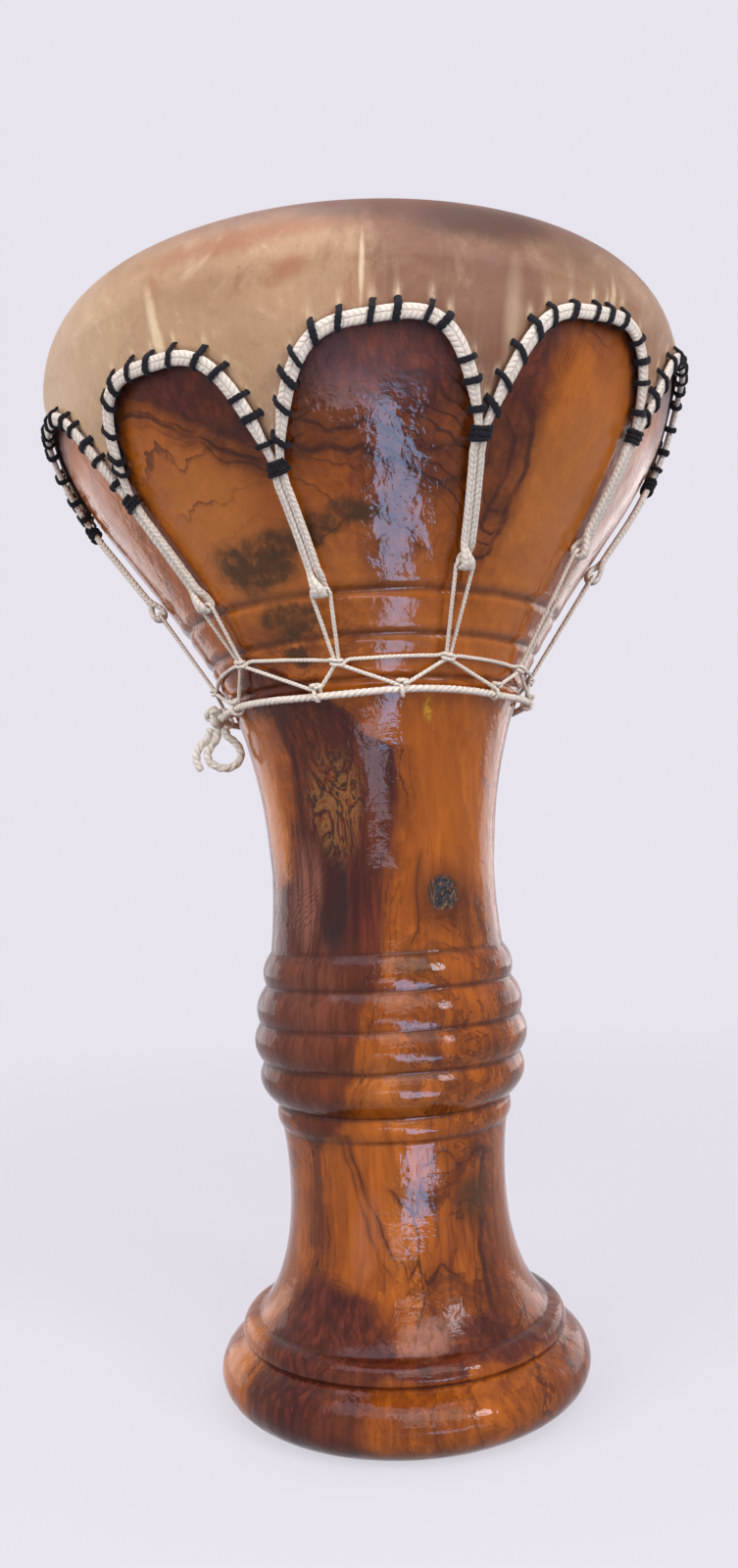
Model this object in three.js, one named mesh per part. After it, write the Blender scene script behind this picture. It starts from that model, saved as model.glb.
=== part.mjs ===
// Goblet drum: a turned wooden shell, a skin head with a scalloped skirt, the cord sewn along that skirt,
// and the lacing that pulls it down to a ring cord round the neck.
// Millimetres, +Z up, standing on the foot, with the origin at the centre of the foot's underside.
// Angles go round the axis from the front (-Y), in degrees, positive towards +X.
import * as THREE from 'three';

// Overall
const drumHeight = 400; // foot to playing surface
const clearance = 0.3; // between pieces that lie against each other

// Shell, from the foot up
const footFlatRadius = 54; // outer edge of the face that it stands on
const footRollRadius = 69; // widest point of the rounded foot
const footRollHeight = 23; // ground to the groove above the rounded foot
const footGrooveRadius = 59.4; // bottom of that groove
const footGrooveWidth = 1; // half of its width
const footLipRadius = 60.8; // lip above the groove
const footLipHeight = 7.5; // height of the lip's round
const flareRadius = 54.6; // foot of the concave flare, on top of the lip
const flareBend = 13.5; // how far up the flare its curve is drawn in
const stemRadius = 41; // thinnest part of the stem
const stemHeight = 76; // height of that part
const ridgeBase = 98.5; // height of the groove under the ridged band
const ridgeBaseRadius = 42.8; // radius of the shell at that groove
const ridges = [ // bottom to top: height of a ridge, its radius and the radius of the groove above it
  { rise: 8.5, radius: 44.6, groove: 43.9 },
  { rise: 16, radius: 50.2, groove: 49 },
  { rise: 14.5, radius: 52.3, groove: 50 },
  { rise: 14, radius: 50.9, groove: 47.2 },
  { rise: 12.5, radius: 48, groove: 44.8 },
];
const neckRadius = 43.1; // thinnest part of the neck
const neckHeight = 194; // height of that part
const bowlRadius = 121.6; // widest part of the wood
const rimRoundWidth = 13.6; // rounded shoulder of the rim, across
const rimRoundHeight = 22.8; // and up
const bowlCurve = [ // the bowl's side, as shares of the way out and up from the neck to the widest part
  [0, 0], [0.033, 0.143], [0.1, 0.275], [0.177, 0.363], [0.279, 0.451],
  [0.443, 0.56], [0.628, 0.67], [0.808, 0.78], [0.938, 0.89], [1, 1],
];
const turnedGrooves = [ // fine grooves cut round the bottom of the bowl
  { height: 260, width: 2.4, depth: 0.7 },
  { height: 274, width: 3, depth: 1 },
  { height: 287.4, width: 3.4, depth: 1 },
];

// Hollow of the shell
const bowlWall = 12; // wall of the bowl, square to its side
const bearingEdgeWidth = 3; // flat rim that carries the skin
const boreRadius = 27; // straight bore of the stem
const throatLength = 36; // from the bottom of the bowl's hollow to the straight bore
const footBoreRadius = 38; // mouth of the bore at the foot
const footBoreFlare = 42; // height over which the mouth widens

// Skin head
const skinThickness = 0.8;
const skinGap = 0.8; // skin to wood
const scallopCount = 10;
const frontValleyAngle = -16; // valley left of the middle of the front
const valleyDrop = 63.4; // playing surface to a valley of the skirt
const scallopRise = 30; // valley to the top of a scallop
const lacingPull = 4.8; // how far the hand-laced edge rises at the sides and drops at the front and back
const lacingPullAngle = 71; // where it is highest
const lacingTilt = 7.2; // how far the edge leans to one side
const lacingTiltAngle = 135; // towards which it leans up

// Cord sewn along the skirt, with a doubled tail at each valley
const cordHalfWidth = 2.3; // flat braid along the scallops
const cordHalfThickness = 1.1;
const tailStrandRadius = 1.25; // the same braid pulled round in the tails
const tailFoldHalfWidth = 2; // flattened again where the tail folds round the lacing
const tailFoldHalfThickness = 0.9;
const tailGap = 0.4; // between the two strands of a tail
const tailDrop = 36; // valley to the eye at the tail's end
const tailLean = 3; // sideways, in degrees

// Black sewing thread
const threadRadius = 0.55;
const stitchTurns = 8; // whip stitches along one scallop
const stitchedShare = 0.88; // share of the scallop that is whipped
const bindingTurns = 2; // turns round the two strands at a valley
const bindingPitch = 2;
const bindingDrop = 1.2; // valley to the first turn

// Lacing, cross cord and ring cord
const lacingRadius = 0.8;
const eyeGap = 0.5; // lacing to the inside of the tail's fold
const eyeCorner = [[0, 1.8], [0.5, 0.4], [1.5, 0]]; // its turn into the eye: inwards, and down
const knotHeight = 265; // where the two legs of a lacing loop are hitched together
const knotLean = 4; // degrees from the valley to its knot
const legGap = 0.4; // between the two legs at a knot
const legRun = 3.3; // straight run of the legs above and below a knot
const crossPitch = 2.1; // drop of one turn of the cross cord round the legs
const crossCordLift = 2.2; // cross cord to wood between the knots
const ringHeight = 256.5;
const ringCordRadius = 1.45;
const hitchLean = 27; // degrees from a valley to the hitch on the ring cord after it
const hitchTurn = [15, 315]; // degrees from the top of the ring cord, where a hitch starts and ends
const crossTurn = [-60, 420]; // degrees from the front of the legs, where a turn of the cross cord does

// Tied end of the ring cord
const tieAngle = -80;
const tieCordRadius = 1.4;
const tieKnotLength = 9.2; // outwards
const tieKnotWidth = 8; // along the ring
const tieKnotHeight = 7;
const tieKnotProfile = [[0, 0], [0.86, 0], [1, 0.3], [0.97, 0.62], [0.66, 0.9], [0, 1]]; // shares: out, up
const tieKnotBaseDrop = 4.4; // ring cord to the knot's flat underside
const tieKnotStandOff = 2.8; // ring cord to the middle of the knot, outwards
const tieLoopRoute = [ // hanging loop: outwards from the middle strand, and up
  [0, 0], [0.6, -2.4], [2.6, -4.8], [4.2, -7.8], [3.2, -11.2], [-0.6, -13.4], [-4.8, -13.2],
  [-8, -10.6], [-8.4, -6.8], [-6.4, -3.6], [-4, -1.6], [-3.3, 0],
];
const tieEndRoute = [ // free end beside it
  [3.3, 0], [4.2, -2.4], [6.8, -4.8], [8.4, -7.8], [8.2, -11.2], [7, -14],
];

// Fineness of the faceted surfaces
const shellSegments = 32;
const rimSteps = 4;
const bowlSteps = 14;
const curveSteps = 3;
const columnsPerScallop = 8;
const skirtRows = 4;
const archSteps = 10;
const turnSteps = 6; // steps in one turn of the thread
const threadSides = 4;
const cordSides = 6;
const lacingSides = 5;
const wrapStep = 60; // degrees between the points of a wrap of lacing
const tailSteps = 3;
const foldSteps = 4;
const ringSteps = 40;
const tieSteps = 14;
const tieSides = 8;
const tieKnotSegments = 12;

// Materials
const wood = new THREE.MeshStandardMaterial({ color: 0xb5692a, roughness: 0.28, metalness: 0 });
const skin = new THREE.MeshStandardMaterial({ color: 0xc3a37c, roughness: 0.6, metalness: 0 });
const cotton = new THREE.MeshStandardMaterial({ color: 0xe0d8c4, roughness: 0.9, metalness: 0 });
const blackYarn = new THREE.MeshStandardMaterial({ color: 0x17140f, roughness: 0.95, metalness: 0 });

const radians = THREE.MathUtils.degToRad;
const lerp = THREE.MathUtils.lerp;
const drum = new THREE.Group();

function addPiece(name, geometry, material, parent = drum) {
  const mesh = new THREE.Mesh(geometry, material);
  mesh.name = name;
  parent.add(mesh);
  return mesh;
}

// A closed surface from points and triangles, turned so that its faces point out
function closedGeometry(positions, triangles) {
  const corner = (i) => new THREE.Vector3().fromArray(positions, 3 * i);
  let volume = 0;
  for (let i = 0; i < triangles.length; i += 3) {
    const [a, b, c] = triangles.slice(i, i + 3).map(corner);
    volume += a.dot(b.cross(c));
  }
  if (volume < 0) triangles.reverse();
  const geometry = new THREE.BufferGeometry();
  geometry.setAttribute('position', new THREE.Float32BufferAttribute(positions, 3));
  geometry.setIndex(triangles);
  return geometry;
}

// Outline of the turned shell: radius and height
const rimHeight = drumHeight - skinThickness - skinGap;
const bowlWidestHeight = rimHeight - rimRoundHeight;

function bend(from, control, to) {
  return new THREE.QuadraticBezierCurve(from, control, to).getPoints(curveSteps).slice(1);
}

function rimPoint(turn) {
  const across = bowlRadius - rimRoundWidth + rimRoundWidth * Math.cos(turn);
  return new THREE.Vector2(across, bowlWidestHeight + rimRoundHeight * Math.sin(turn));
}

function outerOutline() {
  const at = (r, z) => new THREE.Vector2(r, z);
  const rollCentre = footRollHeight / 2;
  const roll = new THREE.EllipseCurve(
    footFlatRadius, rollCentre, footRollRadius - footFlatRadius, rollCentre, -Math.PI / 2, Math.PI / 3,
  );
  const points = roll.getPoints(2 * curveSteps);
  points.push(at(footGrooveRadius, footRollHeight));
  const lip = at(footLipRadius, footRollHeight + footGrooveWidth);
  const flare = at(flareRadius, footRollHeight + footLipHeight);
  points.push(lip, ...bend(lip, at(footLipRadius, flare.y), flare));
  const stem = at(stemRadius, stemHeight);
  points.push(...bend(flare, at(stemRadius, flare.y + flareBend), stem));
  let groove = at(ridgeBaseRadius, ridgeBase);
  points.push(...bend(stem, at(stemRadius, (stemHeight + ridgeBase) / 2), groove));
  for (const ridge of ridges) {
    const next = at(ridge.groove, groove.y + ridge.rise);
    const bulge = 2 * ridge.radius - (groove.x + next.x) / 2;
    points.push(...bend(groove, at(bulge, groove.y + ridge.rise / 2), next));
    groove = next;
  }
  const neck = at(neckRadius, neckHeight);
  points.push(...bend(groove, at(neckRadius, (groove.y + neckHeight) / 2), neck));
  const side = bowlCurve.map(([out, up]) => at(
    lerp(neckRadius, bowlRadius, out), lerp(neckHeight, bowlWidestHeight, up),
  ));
  points.push(...new THREE.SplineCurve(side).getPoints(bowlSteps).slice(1));
  for (let i = 1; i <= rimSteps; i += 1) points.push(rimPoint(Math.PI / 2 * i / rimSteps));
  return points;
}

const outline = outerOutline();

function radiusAt(z) {
  const i = Math.max(1, outline.findIndex((p) => p.y >= z));
  const [low, high] = [outline[i - 1], outline[i]];
  return lerp(low.x, high.x, (z - low.y) / (high.y - low.y));
}

// The surface's outward direction at a height: out and up
function normalAt(z) {
  const reach = 4;
  const slope = (radiusAt(z + reach) - radiusAt(z - reach)) / (2 * reach);
  return new THREE.Vector2(1, -slope).normalize();
}

// Directions at a place on the shell: out from the surface, round the drum and down along the surface
function frameAt(angle, z) {
  const turn = radians(angle);
  const normal = normalAt(z);
  const radial = new THREE.Vector3(Math.sin(turn), -Math.cos(turn), 0);
  const out = radial.clone().multiplyScalar(normal.x).setZ(normal.y);
  const round = new THREE.Vector3(Math.cos(turn), Math.sin(turn), 0);
  const foot = radial.clone().multiplyScalar(radiusAt(z)).setZ(z);
  return { foot, out, round, down: out.clone().cross(round).negate() };
}

function place({ foot, out, round, down }, lift, sideways = 0, drop = 0) {
  return foot.clone()
    .addScaledVector(out, lift)
    .addScaledVector(round, sideways)
    .addScaledVector(down, drop);
}

// Turned shell
function cutGroove(points, { height, width, depth }) {
  const [low, high] = [height - width / 2, height + width / 2];
  const edge = (z, cut) => new THREE.Vector2(radiusAt(z) - cut, z);
  return [
    ...points.filter((p) => p.y < low),
    edge(low, 0),
    edge(height, depth),
    edge(high, 0),
    ...points.filter((p) => p.y > high),
  ];
}

function shellProfile() {
  const outer = turnedGrooves.reduce(cutGroove, outline);
  const rimInner = bowlRadius - rimRoundWidth - bearingEdgeWidth;
  const hollow = [];
  for (const p of outline) {
    if (p.y < ringHeight || p.y > bowlWidestHeight) continue;
    const normal = normalAt(p.y);
    const inside = new THREE.Vector2(p.x - bowlWall * normal.x, p.y - bowlWall * normal.y);
    if (inside.x < rimInner) hollow.push(inside);
  }
  const throat = hollow[0];
  const bore = new THREE.Vector2(boreRadius, throat.y - throatLength);
  const throatBend = new THREE.Vector2(boreRadius, (throat.y + bore.y) / 2);
  const mouth = new THREE.Vector2(footBoreRadius, 0);
  const flareTop = new THREE.Vector2(boreRadius, footBoreFlare);
  const flareControl = new THREE.Vector2(boreRadius, footBoreFlare / 2);
  return [
    ...outer,
    new THREE.Vector2(rimInner, rimHeight),
    new THREE.Vector2(rimInner, bowlWidestHeight),
    ...hollow.reverse(),
    ...bend(throat, throatBend, bore),
    flareTop,
    ...bend(flareTop, flareControl, mouth),
    outer[0].clone(),
  ];
}

const shellGeometry = new THREE.LatheGeometry(shellProfile(), shellSegments);
addPiece('shell', shellGeometry, wood).rotation.x = Math.PI / 2;

// Scalloped edge of the skirt
const scallopSpan = 360 / scallopCount;
const valleyAngle = (k) => frontValleyAngle + scallopSpan * k;

function valleyHeight(k) {
  const wander = Math.cos(radians(2 * (valleyAngle(k) - lacingPullAngle)));
  const tilt = Math.cos(radians(valleyAngle(k) - lacingTiltAngle));
  return drumHeight - valleyDrop + lacingPull * wander + lacingTilt * tilt;
}

// Height of the edge: share runs from -1 at valley k to 1 at the next valley
function edgeHeight(k, share) {
  const valley = lerp(valleyHeight(k), valleyHeight(k + 1), (share + 1) / 2);
  return valley + scallopRise * Math.cos(Math.PI / 2 * share * share);
}

// Skin head: a flat playing surface, the rounded rim and the scalloped skirt
function skinColumn(angle, edge, lift) {
  const turn = radians(angle);
  const stations = [];
  for (let i = rimSteps; i >= 0; i -= 1) {
    const slant = Math.PI / 2 * i / rimSteps;
    const normal = new THREE.Vector2(Math.cos(slant) / rimRoundWidth, Math.sin(slant) / rimRoundHeight);
    stations.push(rimPoint(slant).addScaledVector(normal.normalize(), lift));
  }
  for (let i = 1; i <= skirtRows; i += 1) {
    const z = lerp(bowlWidestHeight, edge, i / skirtRows);
    stations.push(new THREE.Vector2(radiusAt(z), z).addScaledVector(normalAt(z), lift));
  }
  return stations.map((p) => [p.x * Math.sin(turn), -p.x * Math.cos(turn), p.y]);
}

function skinGeometry() {
  const columns = [];
  for (let k = 0; k < scallopCount; k += 1) {
    for (let i = 0; i < columnsPerScallop; i += 1) {
      const share = 2 * i / columnsPerScallop - 1;
      const angle = valleyAngle(k) + scallopSpan * (share + 1) / 2;
      const edge = edgeHeight(k, share);
      const outside = skinColumn(angle, edge, skinGap + skinThickness);
      columns.push([...outside, ...skinColumn(angle, edge, skinGap).reverse()]);
    }
  }
  const rows = columns[0].length;
  const positions = [0, 0, drumHeight, 0, 0, rimHeight + skinGap, ...columns.flat(2)];
  const point = (column, row) => 2 + (column % columns.length) * rows + row;
  // How far out the middle of an edge lies: the further of a quad's two diagonals keeps clear of the wood
  const reach = (i, j) => {
    const [x, y] = [0, 1].map((axis) => positions[3 * i + axis] + positions[3 * j + axis]);
    return Math.hypot(x, y);
  };
  const triangles = [];
  for (let c = 0; c < columns.length; c += 1) {
    triangles.push(0, point(c, 0), point(c + 1, 0), 1, point(c + 1, rows - 1), point(c, rows - 1));
    for (let r = 0; r < rows - 1; r += 1) {
      const [a, b, d, e] = [point(c, r), point(c + 1, r), point(c, r + 1), point(c + 1, r + 1)];
      if (reach(a, e) > reach(b, d)) triangles.push(a, d, e, a, e, b);
      else triangles.push(a, d, b, b, d, e);
    }
  }
  return closedGeometry(positions, triangles);
}

addPiece('drumhead', skinGeometry(), skin);

// A cord along a route of stations: where it is, which way its flat face looks and its half sizes
function station(at, out, halfWidth, halfThickness = halfWidth) {
  return { at, out, halfWidth, halfThickness };
}

// Each station with the direction across the cord and the one its flat face looks in
function sections(route, closed) {
  const count = route.length;
  let last = null;
  return route.map((here, i) => {
    const before = route[closed ? (i + count - 1) % count : Math.max(i - 1, 0)].at;
    const after = route[closed ? (i + 1) % count : Math.min(i + 1, count - 1)].at;
    const along = here.at.clone().sub(before).normalize();
    along.add(after.clone().sub(here.at).normalize()).normalize();
    const across = along.clone().cross(here.out).normalize();
    if (last && across.dot(last) < 0) across.negate();
    last = across;
    return { ...here, across, face: across.clone().cross(along) };
  });
}

function cordGeometry(route, sides, closed = false) {
  const rings = sections(route, closed);
  const count = rings.length;
  const positions = [];
  for (const ring of rings) {
    for (let j = 0; j < sides; j += 1) {
      const turn = 2 * Math.PI * j / sides;
      const point = ring.at.clone()
        .addScaledVector(ring.across, ring.halfWidth * Math.cos(turn))
        .addScaledVector(ring.face, ring.halfThickness * Math.sin(turn));
      positions.push(...point.toArray());
    }
  }
  const triangles = [];
  const turnedOver = closed && rings[0].across.dot(rings[count - 1].across) < 0;
  for (let i = 0; i < (closed ? count : count - 1); i += 1) {
    const shift = i === count - 1 && turnedOver ? sides / 2 : 0;
    const next = (i + 1) % count;
    for (let j = 0; j < sides; j += 1) {
      const [a, b] = [i * sides + j, i * sides + (j + 1) % sides];
      const [c, d] = [next * sides + (j + shift) % sides, next * sides + (j + 1 + shift) % sides];
      triangles.push(a, b, c, b, d, c);
    }
  }
  if (!closed) {
    const [start, end] = [count * sides, count * sides + 1];
    positions.push(...rings[0].at.toArray(), ...rings[count - 1].at.toArray());
    for (let j = 0; j < sides; j += 1) {
      const k = (j + 1) % sides;
      triangles.push(start, k, j, end, (count - 1) * sides + j, (count - 1) * sides + k);
    }
  }
  return closedGeometry(positions, triangles);
}

// Least gap between a round cord's turns, from its points
function leastGap(route, radius) {
  let least = Infinity;
  for (let i = 0; i < route.length; i += 1) {
    let run = 0;
    for (let j = i + 1; j < route.length; j += 1) {
      run += route[j].at.distanceTo(route[j - 1].at);
      const gap = route[i].at.distanceTo(route[j].at) - 2 * radius;
      if (run > 3 * Math.PI * radius) least = Math.min(least, gap);
    }
  }
  return least;
}

// A wrap's points stand a little further out, so that its straight steps keep the clearance
const threadWiden = 1 / Math.cos(Math.PI / turnSteps);
const wrapWiden = 1 / Math.cos(radians(wrapStep / 2));

// Cord along the skirt: one endless cord, sewn on along the scallops and folded into a tail at each valley
const threadReach = clearance + threadRadius;
const stitchDepth = (cordHalfThickness + threadReach) * threadWiden;
const cordLift = skinGap + skinThickness + clearance + threadRadius + stitchDepth;
const strandShift = tailStrandRadius + tailGap / 2;
const bindingLength = bindingDrop + bindingTurns * bindingPitch + bindingDrop;
const eyeShift = lacingRadius + eyeGap + tailFoldHalfThickness;
const eyeLift = eyeShift + tailFoldHalfThickness + clearance;

function eyeFrame(k) {
  return frameAt(valleyAngle(k) + tailLean, valleyHeight(k) - tailDrop);
}

function archRoute(k) {
  const middle = valleyAngle(k) + scallopSpan / 2;
  const route = [];
  for (let i = 0; i <= archSteps; i += 1) {
    const share = 2 * i / archSteps - 1;
    const z = edgeHeight(k, share);
    const strandAngle = THREE.MathUtils.radToDeg(strandShift / radiusAt(z));
    const frame = frameAt(middle + share * (scallopSpan / 2 - strandAngle), z);
    const atValley = Math.abs(share) === 1;
    route.push(station(
      place(frame, cordLift),
      frame.out,
      atValley ? tailStrandRadius : cordHalfWidth,
      atValley ? tailStrandRadius : cordHalfThickness,
    ));
  }
  return route;
}

// One strand of a tail from the bottom of its binding to the eye: side is -1 at the left, 1 at the right.
// The left strand turns to the outside and the right one to the inside, where they fold round the lacing.
function tailRoute(k, side) {
  const top = valleyHeight(k) - bindingLength;
  const bottom = valleyHeight(k) - tailDrop;
  const route = [];
  for (let i = 0; i <= tailSteps; i += 1) {
    const share = i / tailSteps;
    const frame = frameAt(valleyAngle(k) + tailLean * share, lerp(top, bottom, share));
    const turn = Math.PI / 2 * share;
    const shift = lerp(strandShift, eyeShift, share);
    const lift = lerp(cordLift, eyeLift, share);
    route.push(station(
      place(frame, lift - side * shift * Math.sin(turn), side * shift * Math.cos(turn)),
      frame.out,
      lerp(tailStrandRadius, tailFoldHalfWidth, share),
      lerp(tailStrandRadius, tailFoldHalfThickness, share),
    ));
  }
  return route;
}

function foldRoute(k) {
  const frame = eyeFrame(k);
  const route = [];
  for (let i = 1; i < foldSteps; i += 1) {
    const turn = Math.PI * i / foldSteps;
    const [lift, drop] = [Math.cos(turn), Math.sin(turn)];
    const out = frame.out.clone().multiplyScalar(lift).addScaledVector(frame.down, drop);
    const at = place(frame, eyeLift + eyeShift * lift, 0, eyeShift * drop);
    route.push(station(at, out, tailFoldHalfWidth, tailFoldHalfThickness));
  }
  return route;
}

const arches = [];
const edgeRoute = [];
for (let k = 0; k < scallopCount; k += 1) {
  arches.push(archRoute(k));
  edgeRoute.push(...tailRoute(k, -1), ...foldRoute(k), ...tailRoute(k, 1).reverse(), ...arches[k]);
}
addPiece('edge_cord', cordGeometry(edgeRoute, cordSides, true), cotton);

// Whip stitches: a thread round the cord along each scallop
function stitchRoute(arch) {
  const rings = sections(arch, false);
  const steps = stitchTurns * turnSteps;
  const route = [];
  for (let i = 0; i <= steps; i += 1) {
    const share = lerp(1 - stitchedShare, 1 + stitchedShare, i / steps) / 2 * archSteps;
    const low = Math.min(Math.floor(share), archSteps - 1);
    const mix = (key) => rings[low][key].clone().lerp(rings[low + 1][key], share - low);
    const turn = 2 * Math.PI * i / turnSteps;
    const [across, face] = [mix('across').normalize(), mix('face').normalize()];
    const out = across.clone().multiplyScalar(Math.cos(turn)).addScaledVector(face, Math.sin(turn));
    const at = mix('at')
      .addScaledVector(across, (cordHalfWidth + threadReach) * threadWiden * Math.cos(turn))
      .addScaledVector(face, stitchDepth * Math.sin(turn));
    route.push(station(at, out, threadRadius));
  }
  return route;
}

// Binding: a few turns of thread round the two strands of a tail
function bindingRoute(k) {
  const steps = bindingTurns * turnSteps;
  const halfAcross = (strandShift + tailStrandRadius + threadReach) * threadWiden;
  const halfDeep = (tailStrandRadius + threadReach) * threadWiden;
  const route = [];
  for (let i = 0; i <= steps; i += 1) {
    const z = valleyHeight(k) - bindingDrop - bindingPitch * i / turnSteps;
    const frame = frameAt(valleyAngle(k), z);
    const turn = 2 * Math.PI * i / turnSteps;
    const [across, lift] = [Math.cos(turn), Math.sin(turn)];
    const out = frame.round.clone().multiplyScalar(across).addScaledVector(frame.out, lift);
    route.push(station(place(frame, cordLift + halfDeep * lift, halfAcross * across), out, threadRadius));
  }
  return route;
}

const threadGaps = { stitch: Infinity, binding: Infinity };
for (let k = 0; k < scallopCount; k += 1) {
  const label = String(k + 1).padStart(2, '0');
  const stitches = stitchRoute(arches[k]);
  const binding = bindingRoute(k);
  addPiece(`stitch_${label}`, cordGeometry(stitches, threadSides), blackYarn);
  addPiece(`binding_${label}`, cordGeometry(binding, threadSides), blackYarn);
  threadGaps.stitch = Math.min(threadGaps.stitch, leastGap(stitches, threadRadius));
  threadGaps.binding = Math.min(threadGaps.binding, leastGap(binding, threadRadius));
}
for (const [name, gap] of Object.entries(threadGaps)) {
  console.log(`${name} thread: least gap to itself ${gap.toFixed(2)} mm`);
}

// Lacing: one endless thin cord, up through each tail's eye, down to its knot and round the ring cord
const legShift = lacingRadius + legGap / 2;
const wrapReach = lacingRadius + clearance + lacingRadius;
const knotDepth = wrapReach * wrapWiden;
const knotLift = knotDepth + lacingRadius + clearance;
const hitchReach = (ringCordRadius + clearance + lacingRadius) * wrapWiden;
const ringLift = hitchReach + lacingRadius + clearance;
const eyeSideShift = tailFoldHalfWidth + clearance + lacingRadius;
const ringFrame = (angle) => frameAt(angle, ringHeight);
const knotAngle = (k) => valleyAngle(k) + knotLean;

function lacingLoop(k) {
  const eye = eyeFrame(k);
  const leg = (side) => [-legRun, legRun].map((rise) => {
    const frame = frameAt(knotAngle(k), knotHeight + rise);
    return station(place(frame, knotLift, side * legShift), frame.out, lacingRadius);
  });
  const [leftLow, leftHigh] = leg(-1);
  const [rightLow, rightHigh] = leg(1);
  const corner = (side) => eyeCorner.map(([inwards, drop]) => station(
    place(eye, eyeLift, side * (eyeSideShift - inwards), drop), eye.out, lacingRadius,
  ));
  return [leftLow, leftHigh, ...corner(-1), ...corner(1).reverse(), rightHigh, rightLow];
}

// A hitch goes down in front of the ring cord, under it and up behind it
function hitchRoute(k) {
  const frame = ringFrame(valleyAngle(k) + hitchLean);
  const steps = Math.ceil((hitchTurn[1] - hitchTurn[0]) / wrapStep);
  const route = [];
  for (let i = 0; i <= steps; i += 1) {
    const turn = radians(lerp(...hitchTurn, i / steps));
    const sideways = lerp(-legShift, legShift, i / steps);
    const [rise, lift] = [Math.cos(turn), Math.sin(turn)];
    const out = frame.out.clone().multiplyScalar(lift).addScaledVector(frame.down, -rise);
    const at = place(frame, ringLift + hitchReach * lift, sideways, -hitchReach * rise);
    route.push(station(at, out, lacingRadius));
  }
  return route;
}

const lacingRoute = [];
for (let k = 0; k < scallopCount; k += 1) lacingRoute.push(...lacingLoop(k), ...hitchRoute(k));
addPiece('lacing_cord', cordGeometry(lacingRoute, lacingSides, true), cotton);

// Cross cord: from knot to knot, with a turn round the two legs at each
const crossRoute = [];
for (let k = 0; k < scallopCount; k += 1) {
  const halfAcross = (legShift + wrapReach) * wrapWiden;
  const steps = Math.ceil((crossTurn[1] - crossTurn[0]) / wrapStep);
  const drop = crossPitch * (crossTurn[1] - crossTurn[0]) / 360;
  for (let i = 0; i <= steps; i += 1) {
    const turn = radians(lerp(...crossTurn, i / steps));
    const frame = frameAt(knotAngle(k), knotHeight + drop * (0.5 - i / steps));
    const [across, lift] = [Math.sin(turn), Math.cos(turn)];
    const out = frame.round.clone().multiplyScalar(across).addScaledVector(frame.out, lift);
    const at = place(frame, knotLift + knotDepth * lift, halfAcross * across);
    crossRoute.push(station(at, out, lacingRadius));
  }
  for (const share of [0.25, 0.5, 0.75]) {
    const frame = frameAt(knotAngle(k) + scallopSpan * share, knotHeight);
    crossRoute.push(station(place(frame, crossCordLift), frame.out, lacingRadius));
  }
}
addPiece('cross_cord', cordGeometry(crossRoute, lacingSides, true), cotton);

// Ring cord round the neck, with its two ends at the tied knot
const ringRadius = place(ringFrame(0), ringLift).setZ(0).length();
const ringLevel = place(ringFrame(0), ringLift).z;
const knotOffset = tieKnotStandOff / (tieKnotLength / 2);
const knotHalfWidthAtRing = tieKnotWidth / 2 * Math.sqrt(1 - knotOffset * knotOffset);
const ringEndAngle = THREE.MathUtils.radToDeg((knotHalfWidthAtRing + clearance) / ringRadius);
const ringRoute = [];
for (let i = 0; i <= ringSteps; i += 1) {
  const frame = ringFrame(tieAngle + lerp(ringEndAngle, 360 - ringEndAngle, i / ringSteps));
  ringRoute.push(station(place(frame, ringLift), frame.out, ringCordRadius));
}
addPiece('ring_cord', cordGeometry(ringRoute, cordSides), cotton);

// Tied end: a drawn-tight knot with a flat underside, and under it a hanging loop and the cord's free end.
// The loop and the end swing about the line through the tops of their strands, which points outwards.
const tieBase = ringLevel - tieKnotBaseDrop;
const tieMiddle = ringRadius + tieKnotStandOff;
const tieTurn = radians(tieAngle);

const knotProfile = tieKnotProfile.map(([r, z]) => new THREE.Vector2(r, z));
const tieKnot = new THREE.LatheGeometry(knotProfile, tieKnotSegments);
tieKnot.rotateX(Math.PI / 2).scale(tieKnotWidth / 2, tieKnotLength / 2, tieKnotHeight);
const knotMesh = addPiece('tie_knot', tieKnot, cotton);
knotMesh.position.set(tieMiddle * Math.sin(tieTurn), -tieMiddle * Math.cos(tieTurn), tieBase);
knotMesh.rotation.z = tieTurn;

const tieBow = new THREE.Group();
const swingHeight = tieBase - clearance - tieCordRadius;
tieBow.position.set(tieMiddle * Math.sin(tieTurn), -tieMiddle * Math.cos(tieTurn), swingHeight);
tieBow.rotation.z = tieTurn;
drum.add(tieBow);

// A hanging cord in the plane that points outwards, with rounded ends
function hangingCord(points, steps) {
  const curve = new THREE.CatmullRomCurve3(points.map(([out, up]) => new THREE.Vector3(0, -out, up)));
  const sideways = new THREE.Vector3(1, 0, 0);
  const line = curve.getSpacedPoints(steps);
  const route = line.map((at) => station(at, sideways, tieCordRadius));
  const cap = (end, next) => [60, 30].map((degrees) => {
    const past = tieCordRadius * Math.sin(radians(degrees));
    const back = end.clone().sub(next).setLength(past);
    return station(end.clone().add(back), sideways, tieCordRadius * Math.cos(radians(degrees)));
  });
  const last = line.length - 1;
  return [...cap(line[0], line[1]), ...route, ...cap(line[last], line[last - 1]).reverse()];
}

addPiece('tie_loop', cordGeometry(hangingCord(tieLoopRoute, tieSteps), tieSides), cotton, tieBow);
addPiece('tie_end', cordGeometry(hangingCord(tieEndRoute, tieSteps / 2), tieSides), cotton, tieBow);

export default drum;
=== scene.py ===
import math
from functools import partial, reduce

import bpy
import numpy as np
from mathutils import Matrix, Vector


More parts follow.
